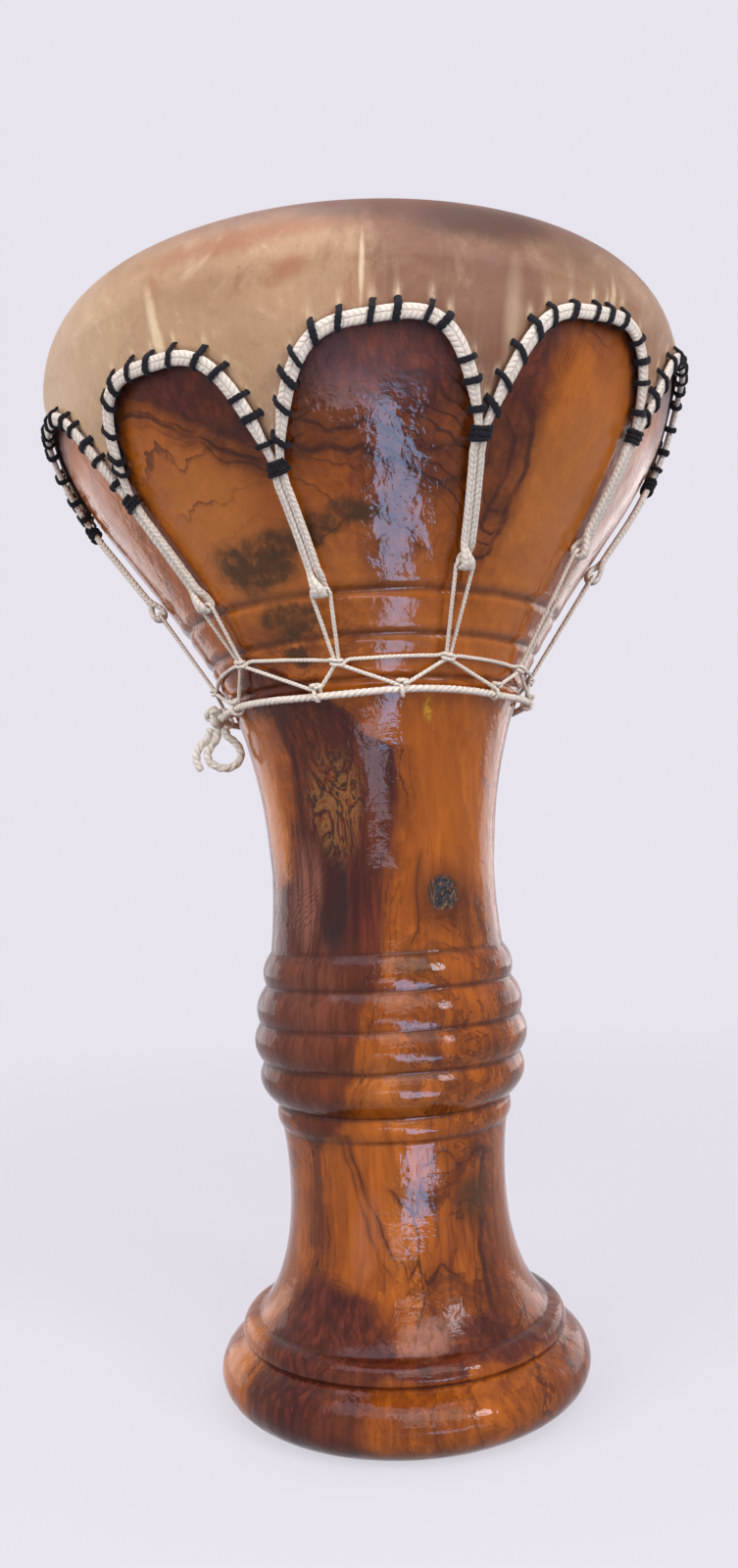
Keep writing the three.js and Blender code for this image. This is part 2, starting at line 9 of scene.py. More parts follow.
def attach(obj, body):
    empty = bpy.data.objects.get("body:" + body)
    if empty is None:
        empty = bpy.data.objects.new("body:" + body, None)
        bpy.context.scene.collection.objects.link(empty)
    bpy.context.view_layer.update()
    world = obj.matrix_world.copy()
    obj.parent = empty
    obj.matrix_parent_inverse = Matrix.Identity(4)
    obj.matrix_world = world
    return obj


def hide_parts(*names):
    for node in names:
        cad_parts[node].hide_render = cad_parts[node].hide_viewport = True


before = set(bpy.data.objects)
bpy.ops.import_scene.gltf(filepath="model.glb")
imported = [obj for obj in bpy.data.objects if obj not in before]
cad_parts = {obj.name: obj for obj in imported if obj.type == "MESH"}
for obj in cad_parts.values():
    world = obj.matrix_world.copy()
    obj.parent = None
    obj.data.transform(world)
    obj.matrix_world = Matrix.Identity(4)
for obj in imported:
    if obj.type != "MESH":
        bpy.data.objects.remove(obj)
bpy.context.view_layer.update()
scene = bpy.context.scene
scene.view_settings.view_transform = "Standard"
print("frame loaded:", len(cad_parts), "nodes")


# Camera: held close in front of the drum, whose top leans a little to the left
cameraSettings = {
    "place": (-0.0039, -0.453, 0.1944),  # metres
    "lens": 26.55,
    "sensorHeight": 36.0,
    "lookUp": 4.16,  # degrees
    "roll": 2.7,
}


def makeCamera(settings):
    data = bpy.data.cameras.new("photoCamera")
    data.sensor_fit = "VERTICAL"
    data.sensor_height = settings["sensorHeight"]
    data.lens = settings["lens"]
    data.clip_start = 0.01
    camera = bpy.data.objects.new("photoCamera", data)
    scene.collection.objects.link(camera)
    tilt, roll = math.radians(settings["lookUp"]), math.radians(settings["roll"])
    right = Vector((1, 0, 0))
    up = Vector((0, -math.sin(tilt), math.cos(tilt)))
    look = Vector((0, math.cos(tilt), math.sin(tilt)))
    cameraRight = right * math.cos(roll) - up * math.sin(roll)
    cameraUp = right * math.sin(roll) + up * math.cos(roll)
    turn = Matrix((cameraRight, cameraUp, -look)).transposed().to_4x4()
    camera.matrix_world = Matrix.Translation(settings["place"]) @ turn
    scene.camera = camera


makeCamera(cameraSettings)
print("camera placed")


# Curves and tubes, all in millimetres until a mesh is made
mm = 0.001


def unit(v):
    return v / np.maximum(np.linalg.norm(v, axis=-1, keepdims=True), 1e-12)


def bend(start, control, end, steps):
    t = np.linspace(0, 1, steps + 1)[1:, None]
    return (1 - t) ** 2 * start + 2 * t * (1 - t) * control + t ** 2 * end


def curveThrough(points, steps):  # a smooth line through all the points
    points = np.asarray(points, float)
    n = len(points)
    t = np.linspace(0, n - 1, steps + 1)
    i = np.minimum(t.astype(int), n - 2)
    w = (t - i)[:, None]
    a, b, c, d = (points[np.clip(i + k, 0, n - 1)] for k in (-1, 0, 1, 2))
    leave, arrive = (c - a) / 2, (d - b) / 2
    cubic, square = 2 * b - 2 * c + leave + arrive, 3 * c - 3 * b - 2 * leave - arrive
    return cubic * w ** 3 + square * w ** 2 + leave * w + b


def eased(share):  # from 0 to 1 with no corner at either end
    share = np.clip(share, 0, 1)
    return share * share * (3 - 2 * share)


def runOf(points):  # the way along a line, at each of its points
    return np.r_[0, np.cumsum(np.linalg.norm(np.diff(points, axis=0), axis=1))]


def columnsAt(s, run, values):
    return np.stack([np.interp(s, run, column) for column in values.T], axis=1)


def evenly(values, step, closed=False):  # columns 0 to 2 are the place; the rest goes along with it
    fineSteps = 8
    values = np.asarray(values, float)
    if closed:
        values = np.vstack([values[-2:], values, values[:3]])
    fine = curveThrough(values, fineSteps * (len(values) - 1))
    if closed:
        fine = fine[2 * fineSteps:-2 * fineSteps]
    run = runOf(fine[:, :3])
    count = max(int(run[-1] / step), 4)
    even = columnsAt(np.linspace(0, run[-1], count + 1), run, fine)
    return (even[:-1] if closed else even), run[-1]


def makeMesh(name, points, faces):
    mesh = bpy.data.meshes.new(name)
    mesh.from_pydata((np.asarray(points) * mm).tolist(), [], faces)
    mesh.polygons.foreach_set("use_smooth", [True] * len(mesh.polygons))
    piece = bpy.data.objects.new(name, mesh)
    scene.collection.objects.link(piece)
    return piece


def gridFaces(rows, columns, wrapRows, wrapColumns, shift=0):
    i = np.arange(rows if wrapRows else rows - 1)[:, None]
    j = np.arange(columns if wrapColumns else columns - 1)[None]
    after = (i + 1) % rows
    slip = np.where(i == rows - 1, shift, 0)
    a, b = i * columns + j, i * columns + (j + 1) % columns
    c = after * columns + (j + 1 + slip) % columns
    d = after * columns + (j + slip) % columns
    return np.stack(np.broadcast_arrays(a, b, c, d), axis=-1).reshape(-1, 4)


def tubePiece(name, stations, shape, closed=False):
    # stations: place, outward direction, half width, half thickness
    endBulge, plyMiddle = 0.4, 1.27
    even, length = evenly(stations, shape["step"], closed)
    at, out, half, thick = even[:, :3], unit(even[:, 3:6]), even[:, 6], even[:, 7]
    before = np.roll(at, 1, 0) if closed else np.vstack([at[:1], at[:-1]])
    after = np.roll(at, -1, 0) if closed else np.vstack([at[1:], at[-1:]])
    along = unit(after - before)
    across = unit(np.cross(along, out))
    for i in range(1, len(across)):
        if across[i] @ across[i - 1] < 0:
            across[i] *= -1
    face = np.cross(across, along)
    sides, count = shape["sides"], len(at)
    run = np.arange(count) * length / (count if closed else count - 1)
    turn = 2 * np.pi * np.arange(sides) / sides
    lobes, depth, pitch = shape.get("plies", 1), shape.get("plyDepth", 0.0), shape.get("pitch", 1.0)
    twist = 2 * np.pi * run / pitch
    swell = 1 + depth * (np.abs(np.cos(lobes / 2 * (turn[None] - twist[:, None]))) * 2 - plyMiddle)
    rough = np.random.default_rng(shape["seed"]).normal(size=(count, sides))
    rough = (rough + np.roll(rough, 1, 0) + np.roll(rough, 1, 1) + np.roll(rough, (1, 1), (0, 1))) / 2
    swell = swell + shape["wobble"] * rough
    square = shape.get("square", 1.0)
    c, s = np.cos(turn), np.sin(turn)
    c, s = np.sign(c) * np.abs(c) ** square, np.sign(s) * np.abs(s) ** square
    ring = at[:, None] + across[:, None] * (half[:, None] * c[None] * swell)[..., None]
    ring = ring + face[:, None] * (thick[:, None] * s[None] * swell)[..., None]
    points = ring.reshape(-1, 3)
    over = closed and across[0] @ across[-1] < 0
    faces = gridFaces(count, sides, closed, True, sides // 2 if over else 0).tolist()
    rows = np.repeat(np.arange(count if closed else count - 1), sides)
    columns = np.tile(np.arange(sides), count if closed else count - 1)
    u0, u1 = run[rows], np.r_[run[1:], length][rows]
    v0 = columns / sides
    uv = np.stack([u0, v0, u0, v0 + 1 / sides, u1, v0 + 1 / sides, u1, v0], axis=1).reshape(-1, 2)
    if not closed:
        tips = [at[0] - along[0] * half[0] * endBulge, at[-1] + along[-1] * half[-1] * endBulge]
        points = np.vstack([points, tips])
        last = (count - 1) * sides
        caps = []
        for j in range(sides):
            k = (j + 1) % sides
            caps += [[count * sides, k, j], [count * sides + 1, last + j, last + k]]
            uv = np.vstack([uv, [[run[0], 0.5], [run[0], k / sides], [run[0], j / sides]],
                            [[length, 0.5], [length, j / sides], [length, k / sides]]])
        faces = faces + caps
    piece = makeMesh(name, points, faces)
    layer = piece.data.uv_layers.new(name="cordMap")
    layer.data.foreach_set("uv", uv.ravel())
    piece.data.validate()
    piece.data.flip_normals()  # outwards
    return piece, at


def joined(name, pieces):  # several tubes as one piece
    first = pieces[0]
    with bpy.context.temp_override(active_object=first, object=first, selected_objects=pieces,
                                   selected_editable_objects=pieces):
        bpy.ops.object.join()
    first.name = name
    first.data.name = name
    return first


def standFor(piece, node, body="drum"):
    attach(piece, body)
    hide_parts(node)


# Shell outline, the same as the CAD shell's, with finer steps
shellSettings = {
    "height": 400.0,
    "skinThickness": 0.8,
    "skinGap": 0.8,
    "footFlat": 54.0,
    "footRoll": 69.0,
    "footRollHeight": 23.0,
    "footGroove": 59.4,
    "footGrooveWidth": 1.0,
    "footLip": 60.8,
    "footLipHeight": 7.5,
    "flare": 54.6,
    "flareBend": 13.5,
    "stem": 41.0,
    "stemHeight": 76.0,
    "ridgeBase": 98.5,
    "ridgeBaseRadius": 42.8,
    "ridges": [(8.5, 44.6, 43.9), (16, 50.2, 49), (14.5, 52.3, 50), (14, 50.9, 47.2), (12.5, 48, 44.8)],
    "neck": 43.1,
    "neckHeight": 194.0,
    "bowl": 121.6,
    "rimWidth": 13.6,
    "rimHeight": 22.8,
    "bowlCurve": [(0, 0), (0.033, 0.143), (0.1, 0.275), (0.177, 0.363), (0.279, 0.451),
                  (0.443, 0.56), (0.628, 0.67), (0.808, 0.78), (0.938, 0.89), (1, 1)],
    "grooves": [(260.0, 2.6, 0.7), (274.0, 3.2, 1.0), (287.4, 3.6, 1.1)],  # height, width, depth
    "grooveTrough": 0.36,  # of the width
    "grooveBeads": (0.16, 0.85, 0.32),  # raised edges: height in depths, place and breadth in widths
    "wall": 12.0,
    "bearingEdge": 3.0,
    "bore": 27.0,
    "throat": 36.0,
    "footBore": 38.0,
    "footBoreFlare": 42.0,
    "hollowFrom": 256.5,
    "step": 1.3,  # along the outline
    "segments": 180,
}
rimTop = shellSettings["height"] - shellSettings["skinThickness"] - shellSettings["skinGap"]
bowlWidest = rimTop - shellSettings["rimHeight"]


def rimPoint(turn):
    s = shellSettings
    return np.stack([s["bowl"] - s["rimWidth"] + s["rimWidth"] * np.cos(turn),
                     bowlWidest + s["rimHeight"] * np.sin(turn)], axis=-1)


def outerOutline(s):
    at = lambda r, z: np.array([r, z], float)
    middle = s["footRollHeight"] / 2
    turn = np.linspace(-math.pi / 2, math.pi / 3, 40)
    roll = np.c_[s["footFlat"] + (s["footRoll"] - s["footFlat"]) * np.cos(turn),
                 middle + middle * np.sin(turn)]
    lip = at(s["footLip"], s["footRollHeight"] + s["footGrooveWidth"])
    flare = at(s["flare"], s["footRollHeight"] + s["footLipHeight"])
    stem = at(s["stem"], s["stemHeight"])
    groove = at(s["ridgeBaseRadius"], s["ridgeBase"])
    parts = [roll, at(s["footGroove"], s["footRollHeight"])[None], lip[None]]
    parts.append(bend(lip, at(s["footLip"], flare[1]), flare, 12))
    parts.append(bend(flare, at(s["stem"], flare[1] + s["flareBend"]), stem, 40))
    parts.append(bend(stem, at(s["stem"], (stem[1] + groove[1]) / 2), groove, 20))
    for rise, radius, low in s["ridges"]:
        end = at(low, groove[1] + rise)
        bulge = 2 * radius - (groove[0] + end[0]) / 2
        parts.append(bend(groove, at(bulge, groove[1] + rise / 2), end, 16))
        groove = end
    neck = at(s["neck"], s["neckHeight"])
    parts.append(bend(groove, at(s["neck"], (groove[1] + neck[1]) / 2), neck, 24))
    low = np.array([s["neck"], s["neckHeight"]])
    side = low + (np.array([s["bowl"], bowlWidest]) - low) * np.array(s["bowlCurve"])
    parts.append(curveThrough(side, 160)[1:])
    parts.append(rimPoint(np.linspace(0, math.pi / 2, 31)[1:]))
    return np.vstack(parts)


outline = outerOutline(shellSettings)


def radiusAt(z):
    return np.interp(z, outline[:, 1], outline[:, 0])


def normalAt(z):  # out and up
    reach = 4.0
    slope = (radiusAt(z + reach) - radiusAt(z - reach)) / (2 * reach)
    return unit(np.stack([np.ones_like(slope), -slope], axis=-1))


def frameAt(angle, z):  # the foot point on the wood, and the directions out, round and down
    turn, z = np.radians(np.asarray(angle, float)), np.asarray(z, float)
    turn, z = np.broadcast_arrays(turn, z)
    n = normalAt(z)
    radial = np.stack([np.sin(turn), -np.cos(turn), np.zeros_like(turn)], -1)
    out = radial * n[..., :1]
    out[..., 2] = n[..., 1]
    around = np.stack([np.cos(turn), np.sin(turn), np.zeros_like(turn)], -1)
    foot = radial * radiusAt(z)[..., None]
    foot[..., 2] = z
    return foot, out, around, -np.cross(out, around)


def place(where, lift, sideways=0.0, drop=0.0):
    foot, out, around, down = where
    return foot + out * lift + around * sideways + down * drop


def stationAt(at, out, half, thick=None):
    return np.r_[at, out, half, half if thick is None else thick]


# Scallops of the skirt
skirtSettings = {
    "scallops": 10,
    "frontValley": -16.0,  # degrees from the front, positive to the right
    "valleyDrop": 63.4,
    "rise": 30.0,
    "pull": 4.8,
    "pullAngle": 71.0,
    "tilt": 7.2,
    "tiltAngle": 135.0,
    "cordHalfWidth": 2.3,
    "cordHalfThick": 1.1,
    "cordLift": 3.5,  # middle of the cord above the wood
    "strand": 1.25,
    "strandGap": 0.15,
    "foldHalfWidth": 2.55,
    "foldHalfThick": 1.0,
    "tailDrop": 36.0,
    "tailLean": 3.0,
    "tailTop": 6.4,  # valley to the bottom of the binding
    "eyeLift": 3.4,
    "eyeShift": 2.2,
}
scallops = range(skirtSettings["scallops"])
span = 360 / len(scallops)


def valleyAngle(k):
    return skirtSettings["frontValley"] + span * k


def valleyHeight(k):
    s, angle = skirtSettings, valleyAngle(k)
    wander = s["pull"] * math.cos(math.radians(2 * (angle - s["pullAngle"])))
    tilt = s["tilt"] * math.cos(math.radians(angle - s["tiltAngle"]))
    return shellSettings["height"] - s["valleyDrop"] + wander + tilt


def edgeHeight(k, share):  # share runs from -1 at valley k to 1 at the next
    low = valleyHeight(k) + (valleyHeight(k + 1) - valleyHeight(k)) * (share + 1) / 2
    return low + skirtSettings["rise"] * np.cos(np.pi / 2 * share * share)


# Cord that hangs at the tie: it comes first, because its room decides the CAD
tieSettings = {
    "angle": -80.0,
    "ringHeight": 256.5,
    "ringLift": 4.04,
    "standOff": 2.8,
    "knotBaseDrop": 4.4,
    "knotSize": (10.2, 8.6, 9.4),  # outwards, along the ring, up
    "cordRadius": 1.4,
    "gap": 0.3,
    # routes of the loop and the free end, outwards and up
    "loop": [(0.2, 1.7), (0, 0), (0.6, -2.4), (2.6, -4.8), (4.2, -7.8), (3.2, -11.2), (-0.6, -13.4),
             (-4.8, -13.2), (-8, -10.6), (-8.4, -6.8), (-6.4, -3.6), (-4, -1.6), (-3.3, 0), (-2.8, 1.7)],
    "end": [(2.8, 1.7), (3.3, 0), (4.2, -2.4), (6.8, -4.8), (8.4, -7.8), (8.2, -11.2), (7, -14)],
    "knotStep": 0.4,
    "shape": {"step": 0.35, "sides": 18, "plies": 3, "plyDepth": 0.13, "pitch": 11.0, "wobble": 0.05,
              "seed": 5},
}


def tiePlaces(s):
    ring = place(frameAt(s["angle"], s["ringHeight"]), s["ringLift"])
    turn = math.radians(s["angle"])
    outward = np.array([math.sin(turn), -math.cos(turn), 0])
    sideways = np.array([math.cos(turn), math.sin(turn), 0])
    middle = ring * [1, 1, 0] + outward * s["standOff"]
    base = ring[2] - s["knotBaseDrop"]
    top = middle + [0, 0, base - s["gap"] - s["cordRadius"]]
    return outward, sideways, middle + [0, 0, base], top


tieOutward, tieSideways, tieBase, tieTop = tiePlaces(tieSettings)


def hangingCord(name, route):
    s = tieSettings
    stations = [stationAt(tieTop + tieOutward * out + np.array([0, 0, up]), tieSideways, s["cordRadius"])
                for out, up in route]
    return tubePiece(name, stations, s["shape"])


tieLoop, tieLoopLine = hangingCord("tieLoop", tieSettings["loop"])
tieEnd, _ = hangingCord("tieEnd", tieSettings["end"])
standFor(tieLoop, "tie_loop", "tie_bow")
standFor(tieEnd, "tie_end", "tie_bow")
tieLoopLine[0] * mm
(tieLoopLine * mm).tolist()


# Turned shell
def shellProfile(s):
    run = runOf(outline)
    outer = columnsAt(np.linspace(0, run[-1], int(run[-1] / s["step"])), run, outline)
    lows = [outline[np.argmin(np.abs(outline[:, 1] - z))] for z in groovesOfOutline(s)]
    outer = np.vstack([outer, lows])
    fine, clear = 1.6, 1.7  # widths of a groove that get finer steps, and that lose the others
    for height, width, _ in s["grooves"]:
        z = height + np.linspace(-fine, fine, 25) * width
        keep = np.abs(outer[:, 1] - height) > clear * width
        outer = np.vstack([outer[keep], np.c_[radiusAt(z), z]])
    rim = outer[:, 1] > bowlWidest
    order = np.r_[np.flatnonzero(~rim)[np.argsort(outer[~rim, 1], kind="stable")],
                  np.flatnonzero(rim)[np.argsort(-outer[rim, 0], kind="stable")]]
    outer = outer[order]
    bead, beadPlace, beadWidth = s["grooveBeads"]
    for height, width, depth in s["grooves"]:
        away = (outer[:, 1] - height) / width
        trough = np.exp(-(away / s["grooveTrough"]) ** 2)
        outer[:, 0] -= depth * (trough - bead * np.exp(-((np.abs(away) - beadPlace) / beadWidth) ** 2))
    inner = s["bowl"] - s["rimWidth"] - s["bearingEdge"]
    z = np.linspace(s["hollowFrom"], bowlWidest, 60)
    n = normalAt(z)
    hollow = np.c_[radiusAt(z) - s["wall"] * n[:, 0], z - s["wall"] * n[:, 1]]
    hollow = hollow[hollow[:, 0] < inner]
    throat = hollow[0]
    bore = np.array([s["bore"], throat[1] - s["throat"]])
    curve = bend(throat, np.array([s["bore"], (throat[1] + bore[1]) / 2]), bore, 14)
    flareTop, mouth = np.array([s["bore"], s["footBoreFlare"]]), np.array([s["footBore"], 0.0])
    foot = bend(flareTop, np.array([s["bore"], s["footBoreFlare"] / 2]), mouth, 14)
    straight = np.c_[np.full(8, s["bore"]), np.linspace(bore[1], flareTop[1], 10)[1:-1]]
    edge = np.array([[inner, rimTop], [inner, bowlWidest]])
    under = np.array([[(s["footBore"] + s["footFlat"]) / 2, 0.0]])
    return np.vstack([outer, edge, hollow[::-1], curve, straight, flareTop[None], foot, under])


def groovesOfOutline(s):  # the sharp lines between the turned ridges, which the even steps would round off
    heights = [s["footRollHeight"], s["footRollHeight"] + s["footLipHeight"], s["ridgeBase"]]
    for rise, _, _ in s["ridges"]:
        heights.append(heights[-1] + rise)
    return heights


def makeShell(s):
    profile = shellProfile(s)
    turn = 2 * np.pi * np.arange(s["segments"]) / s["segments"]
    r, z = profile[:, :1], profile[:, 1:]
    points = np.stack(np.broadcast_arrays(r * np.sin(turn), -r * np.cos(turn), z), axis=-1)
    faces = gridFaces(len(profile), s["segments"], True, True).tolist()
    return makeMesh("turnedShell", points.reshape(-1, 3), faces)


shell = makeShell(shellSettings)
standFor(shell, "shell")
print("shell made:", len(shell.data.polygons), "faces")


# Arch of the edge cord: places, outward directions, travel and the direction towards the skin
def archLine(k, share, lift):
    s = skirtSettings
    z = edgeHeight(k, share)
    strand = np.degrees((s["strand"] + s["strandGap"] / 2) / radiusAt(z))
    angle = valleyAngle(k) + span / 2 + share * (span / 2 - strand)
    where = frameAt(angle, z)
    return place(where, lift), where[1]


def archFrame(k, share, lift):
    step = 0.004
    at, out = archLine(k, share, lift)
    travel = unit(archLine(k, share + step, lift)[0] - archLine(k, share - step, lift)[0])
    return at, out, travel, unit(np.cross(out, travel))


# Whip stitches
stitchSettings = {
    "count": 13,  # along one scallop
    "reach": 0.955,  # share of the scallop that is whipped
    "radius": 0.92,
    "holeGap": 1.5,  # outer edge of the cord to the hole in the skin
    "holeWander": 0.35,
    "slant": (2.04, 0.24),  # lean of the stitches at the left and the right of a scallop
    "wander": 0.14,
    "seed": 11,
    "firstShapeSeed": 40,
    "shape": {"step": 0.55, "sides": 10, "plies": 2, "plyDepth": 0.14, "pitch": 3.2, "wobble": 0.05},
}


def stitchShares(k, rng):  # evenly along the cord
    s = stitchSettings
    shares = np.linspace(-s["reach"], s["reach"], 200)
    line = archLine(k, shares, skirtSettings["cordLift"])[0]
    run, last = runOf(line), s["count"] - 1
    even = np.arange(s["count"]) + rng.normal(0, s["wander"], s["count"])
    return np.interp(np.clip(even, 0, last) * run[-1] / last, run, shares)


stitchRng = np.random.default_rng(stitchSettings["seed"])
scallopShares = [stitchShares(k, stitchRng) for k in scallops]
holeGaps = [stitchSettings["holeGap"]
            + stitchRng.normal(0, stitchSettings["holeWander"], stitchSettings["count"]) for _ in scallops]
skinTop = shellSettings["skinGap"] + shellSettings["skinThickness"]


def stitchLean(share):
    return np.interp(share, [-1, 1], stitchSettings["slant"])


def holePlaces(k):  # on the skin's outer face
    places = []
    for share, gap in zip(scallopShares[k], holeGaps[k]):
        at, _, travel, up = archFrame(k, share, skinTop)
        places.append(at + up * (skirtSettings["cordHalfWidth"] + gap) + travel * stitchLean(share))
    return np.array(places)


def stitchStations(k):
    s, c = stitchSettings, skirtSettings
    half, thick, r = c["cordHalfWidth"], c["cordHalfThick"], s["radius"]
    low = skinTop - c["cordLift"]
    behind, flat = shellSettings["skinGap"] / 2 - c["cordLift"], 0.4  # between the skin and the wood
    stations = []
    for j, share in enumerate(scallopShares[k]):
        middle, out, travel, up = archFrame(k, share, c["cordLift"])
        lean = stitchLean(share)
        hole = half + holeGaps[k][j]
        wide = r * (1.15 + 0.2 * math.sin(3.7 * j + 1.9 * k))  # no two turns are alike
        # across the cord, out from the wood, along the cord, half the thread's thickness, and its outer side
        turns = [
            (hole - 0.3, behind, lean, flat, 1, -0.6), (hole + 0.25, low + 0.1, lean, 0.55, 1, 0),
            (hole - 0.3, low + 0.8, lean, 0.6, 0.6, 0.8), (half + 0.3, 0.45, lean * 0.8, 0.6, 0.6, 0.8),
            (half * 0.72, thick + 0.4, lean * 0.55, 0.55, 0.3, 1), (0, thick + 0.55, lean * 0.1, 0.55, 0, 1),
            (-half * 0.72, thick + 0.4, -lean * 0.35, 0.55, -0.4, 1),
            (-half - 0.42, 0, -lean * 0.5, 0.5, -1, 0),
            (-half * 0.8, -thick - 0.4, -lean * 0.4, 0.5, -0.4, -1), (0, behind, 0.2, flat, 0, -1),
        ]
        for across, lift, ahead, deep, sideUp, sideOut in turns:
            at = middle + up * across + out * lift + travel * ahead
            stations.append(stationAt(at, up * sideUp + out * sideOut, r if deep == flat else wide, deep))
    return stations


def yarnPieces(name, node, settings, stationsOf):  # one on each scallop
    pieces = []
    for k in scallops:
        label = "%02d" % (k + 1)
        shape = dict(settings["shape"], seed=settings["firstShapeSeed"] + k)
        piece, _ = tubePiece(name + "." + label, stationsOf(k), shape)
        standFor(piece, node + "_" + label)
        pieces.append(piece)
    return pieces


stitches = yarnPieces("whipStitch", "stitch", stitchSettings, stitchStations)
print("whip stitches made:", len(stitches))


# Bindings of yarn under each valley
bindingSettings = {
    "turns": 2.5,
    "pitch": 1.4,
    "drop": 0.2,  # valley to the first turn
    "radius": 0.8,
    "stepsPerTurn": 20,
    "lean": 0.5,  # about how far a binding tips to either side
    "seed": 23,
    "firstShapeSeed": 70,
    "shape": {"step": 0.5, "sides": 10, "plies": 2, "plyDepth": 0.14, "pitch": 3.2, "wobble": 0.05},
}


bindingRng = np.random.default_rng(bindingSettings["seed"])


def bindingStations(k):
    s, c = bindingSettings, skirtSettings
    sunk = s["radius"] * 0.8  # middle of the yarn above the strands
    wide = 2 * c["strand"] + c["strandGap"] / 2 + sunk
    deep = c["strand"] + sunk
    start = 0.6  # of the first turn, in radians
    lean = bindingRng.normal(0, s["lean"])
    stations = []
    for i in range(int(s["turns"] * s["stepsPerTurn"]) + 1):
        turn = 2 * math.pi * i / s["stepsPerTurn"] + start
        cross = math.cos(turn)
        z = valleyHeight(k) - s["drop"] - s["pitch"] * i / s["stepsPerTurn"] + lean * cross
        where = frameAt(valleyAngle(k), z)
        swell = 1 + 0.05 * math.sin(1.7 * turn + k)
        at = place(where, c["cordLift"] + deep * swell * math.sin(turn), wide * swell * cross)
        out = where[2] * cross + where[1] * math.sin(turn)
        stations.append(stationAt(at, out, s["radius"]))
    return stations


bindings = yarnPieces("valleyBinding", "binding", bindingSettings, bindingStations)
print("bindings made:", len(bindings))


# Edge cord: flat braid along the scallops, doubled into a tail at each valley
edgeCordSettings = {
    "archSteps": 28,
    "tailSteps": 15,
    "foldSteps": 8,
    "flatten": 0.16,  # share of a half scallop in which two round strands turn into the flat braid
    "foldFrom": 0.8,  # share of the tail from which its strands turn into the fold
    "shape": {"step": 0.7, "sides": 16, "square": 0.8, "wobble": 0.012, "seed": 3},
}


def archStations(k):
    s = skirtSettings
    stations = []
    for share in np.linspace(-1, 1, edgeCordSettings["archSteps"] + 1):
        at, out = archLine(k, share, s["cordLift"])
        flat = eased((1 - abs(share)) / edgeCordSettings["flatten"])
        half = s["strand"] + (s["cordHalfWidth"] - s["strand"]) * flat
        thick = s["strand"] + (s["cordHalfThick"] - s["strand"]) * flat
        stations.append(stationAt(at, out, half, thick))
    return stations


def tailStations(k, side):  # the left strand turns to the outside and the right one to the inside
    s = skirtSettings
    top, bottom = valleyHeight(k) - s["tailTop"], valleyHeight(k) - s["tailDrop"]
    shift, foldFrom = s["strand"] + s["strandGap"] / 2, edgeCordSettings["foldFrom"]
    stations = []
    for share in np.linspace(0, 1, edgeCordSettings["tailSteps"] + 1):
        where = frameAt(valleyAngle(k) + s["tailLean"] * share, top + (bottom - top) * share)
        late = eased((share - foldFrom) / (1 - foldFrom))
        turn = math.pi / 2 * late
        away = shift + (s["eyeShift"] - shift) * late
        lift = s["cordLift"] + (s["eyeLift"] - s["cordLift"]) * share
        at = place(where, lift - side * away * math.sin(turn), side * away * math.cos(turn))
        half = max(s["strand"] + shift - away * math.cos(turn), s["strand"])
        thick = s["strand"] + (s["foldHalfThick"] - s["strand"]) * late
        stations.append(stationAt(at, where[1], half, thick))
    return stations


def eyeFrame(k):
    return frameAt(valleyAngle(k) + skirtSettings["tailLean"], valleyHeight(k) - skirtSettings["tailDrop"])


def foldStations(k):
    s = skirtSettings
    where = eyeFrame(k)
    stations = []
    for i in range(1, edgeCordSettings["foldSteps"]):
        turn = math.pi * i / edgeCordSettings["foldSteps"]
        lift, drop = math.cos(turn), math.sin(turn)
        at = place(where, s["eyeLift"] + s["eyeShift"] * lift, 0, s["eyeShift"] * drop)
        out = where[1] * lift + where[3] * drop
        stations.append(stationAt(at, out, s["foldHalfWidth"], s["foldHalfThick"]))
    return stations


edgeStations = []
for k in scallops:
    edgeStations += tailStations(k, -1) + foldStations(k) + tailStations(k, 1)[::-1] + archStations(k)
edgeCord, _ = tubePiece("edgeCord", edgeStations, edgeCordSettings["shape"], closed=True)
standFor(edgeCord, "edge_cord")
print("edge cord made:", len(edgeCord.data.polygons), "faces")


# Lacing, cross cord and ring cord
lacingSettings = {
    "radius": 0.66,
    "knotHeight": 266.5,
    "knotLean": 4.0,
    # each knot's own height, from the front valley
    "knotRise": [0.0, 0.8, -0.6, 0.4, 0.9, -0.5, 0.3, -0.8, 0.2, 4.2],
    "legShift": 0.8,
    "legRun": 1.0,
    "knotLift": 2.6,
    "eyeSide": 3.2,
    "eyeCorner": [(0, 1.8), (0.5, 0.4), (1.5, 0)],
    "hitchLean": 27.0,
    # each hitch's own place round the drum
    "hitchTurn": [-2.0, -0.8, 0.5, 1.0, -1.5, 0.8, -0.6, 1.2, 1.5, 5.0],
    "hitchArc": (15.0, 330.0),
    "hitchReach": 1.95,
    "collarRise": 2.7,  # small turn round both strands above a hitch
    "collarSize": (1.25, 1.7),
    "collarFall": 0.9,
    "crossPitch": 1.4,
    "crossTurn": (-70.0, 430.0),
    "crossLift": 1.3,
    "crossReach": 1.75,  # of its turns round the legs, in radii
    "ringRadius": 1.22,
    "ringSag": 0.5,
    "ringWaves": 5,
    "ringEnds": 3.6,  # degrees each side of the tied knot
    "shape": {"step": 0.5, "sides": 10, "plies": 2, "plyDepth": 0.2, "pitch": 3.0, "wobble": 0.02, "seed": 9},
    "ringShape": {"step": 0.6, "sides": 14, "plies": 3, "plyDepth": 0.15, "pitch": 6.5, "wobble": 0.02,
                  "seed": 10},
}


def between(a, b, *shares):  # stations on the straight run from one to the next
    return [a + (b - a) * share for share in shares]


def knotPlace(k):
    s = lacingSettings
    return valleyAngle(k) + s["knotLean"], s["knotHeight"] + s["knotRise"][k % len(s["knotRise"])]


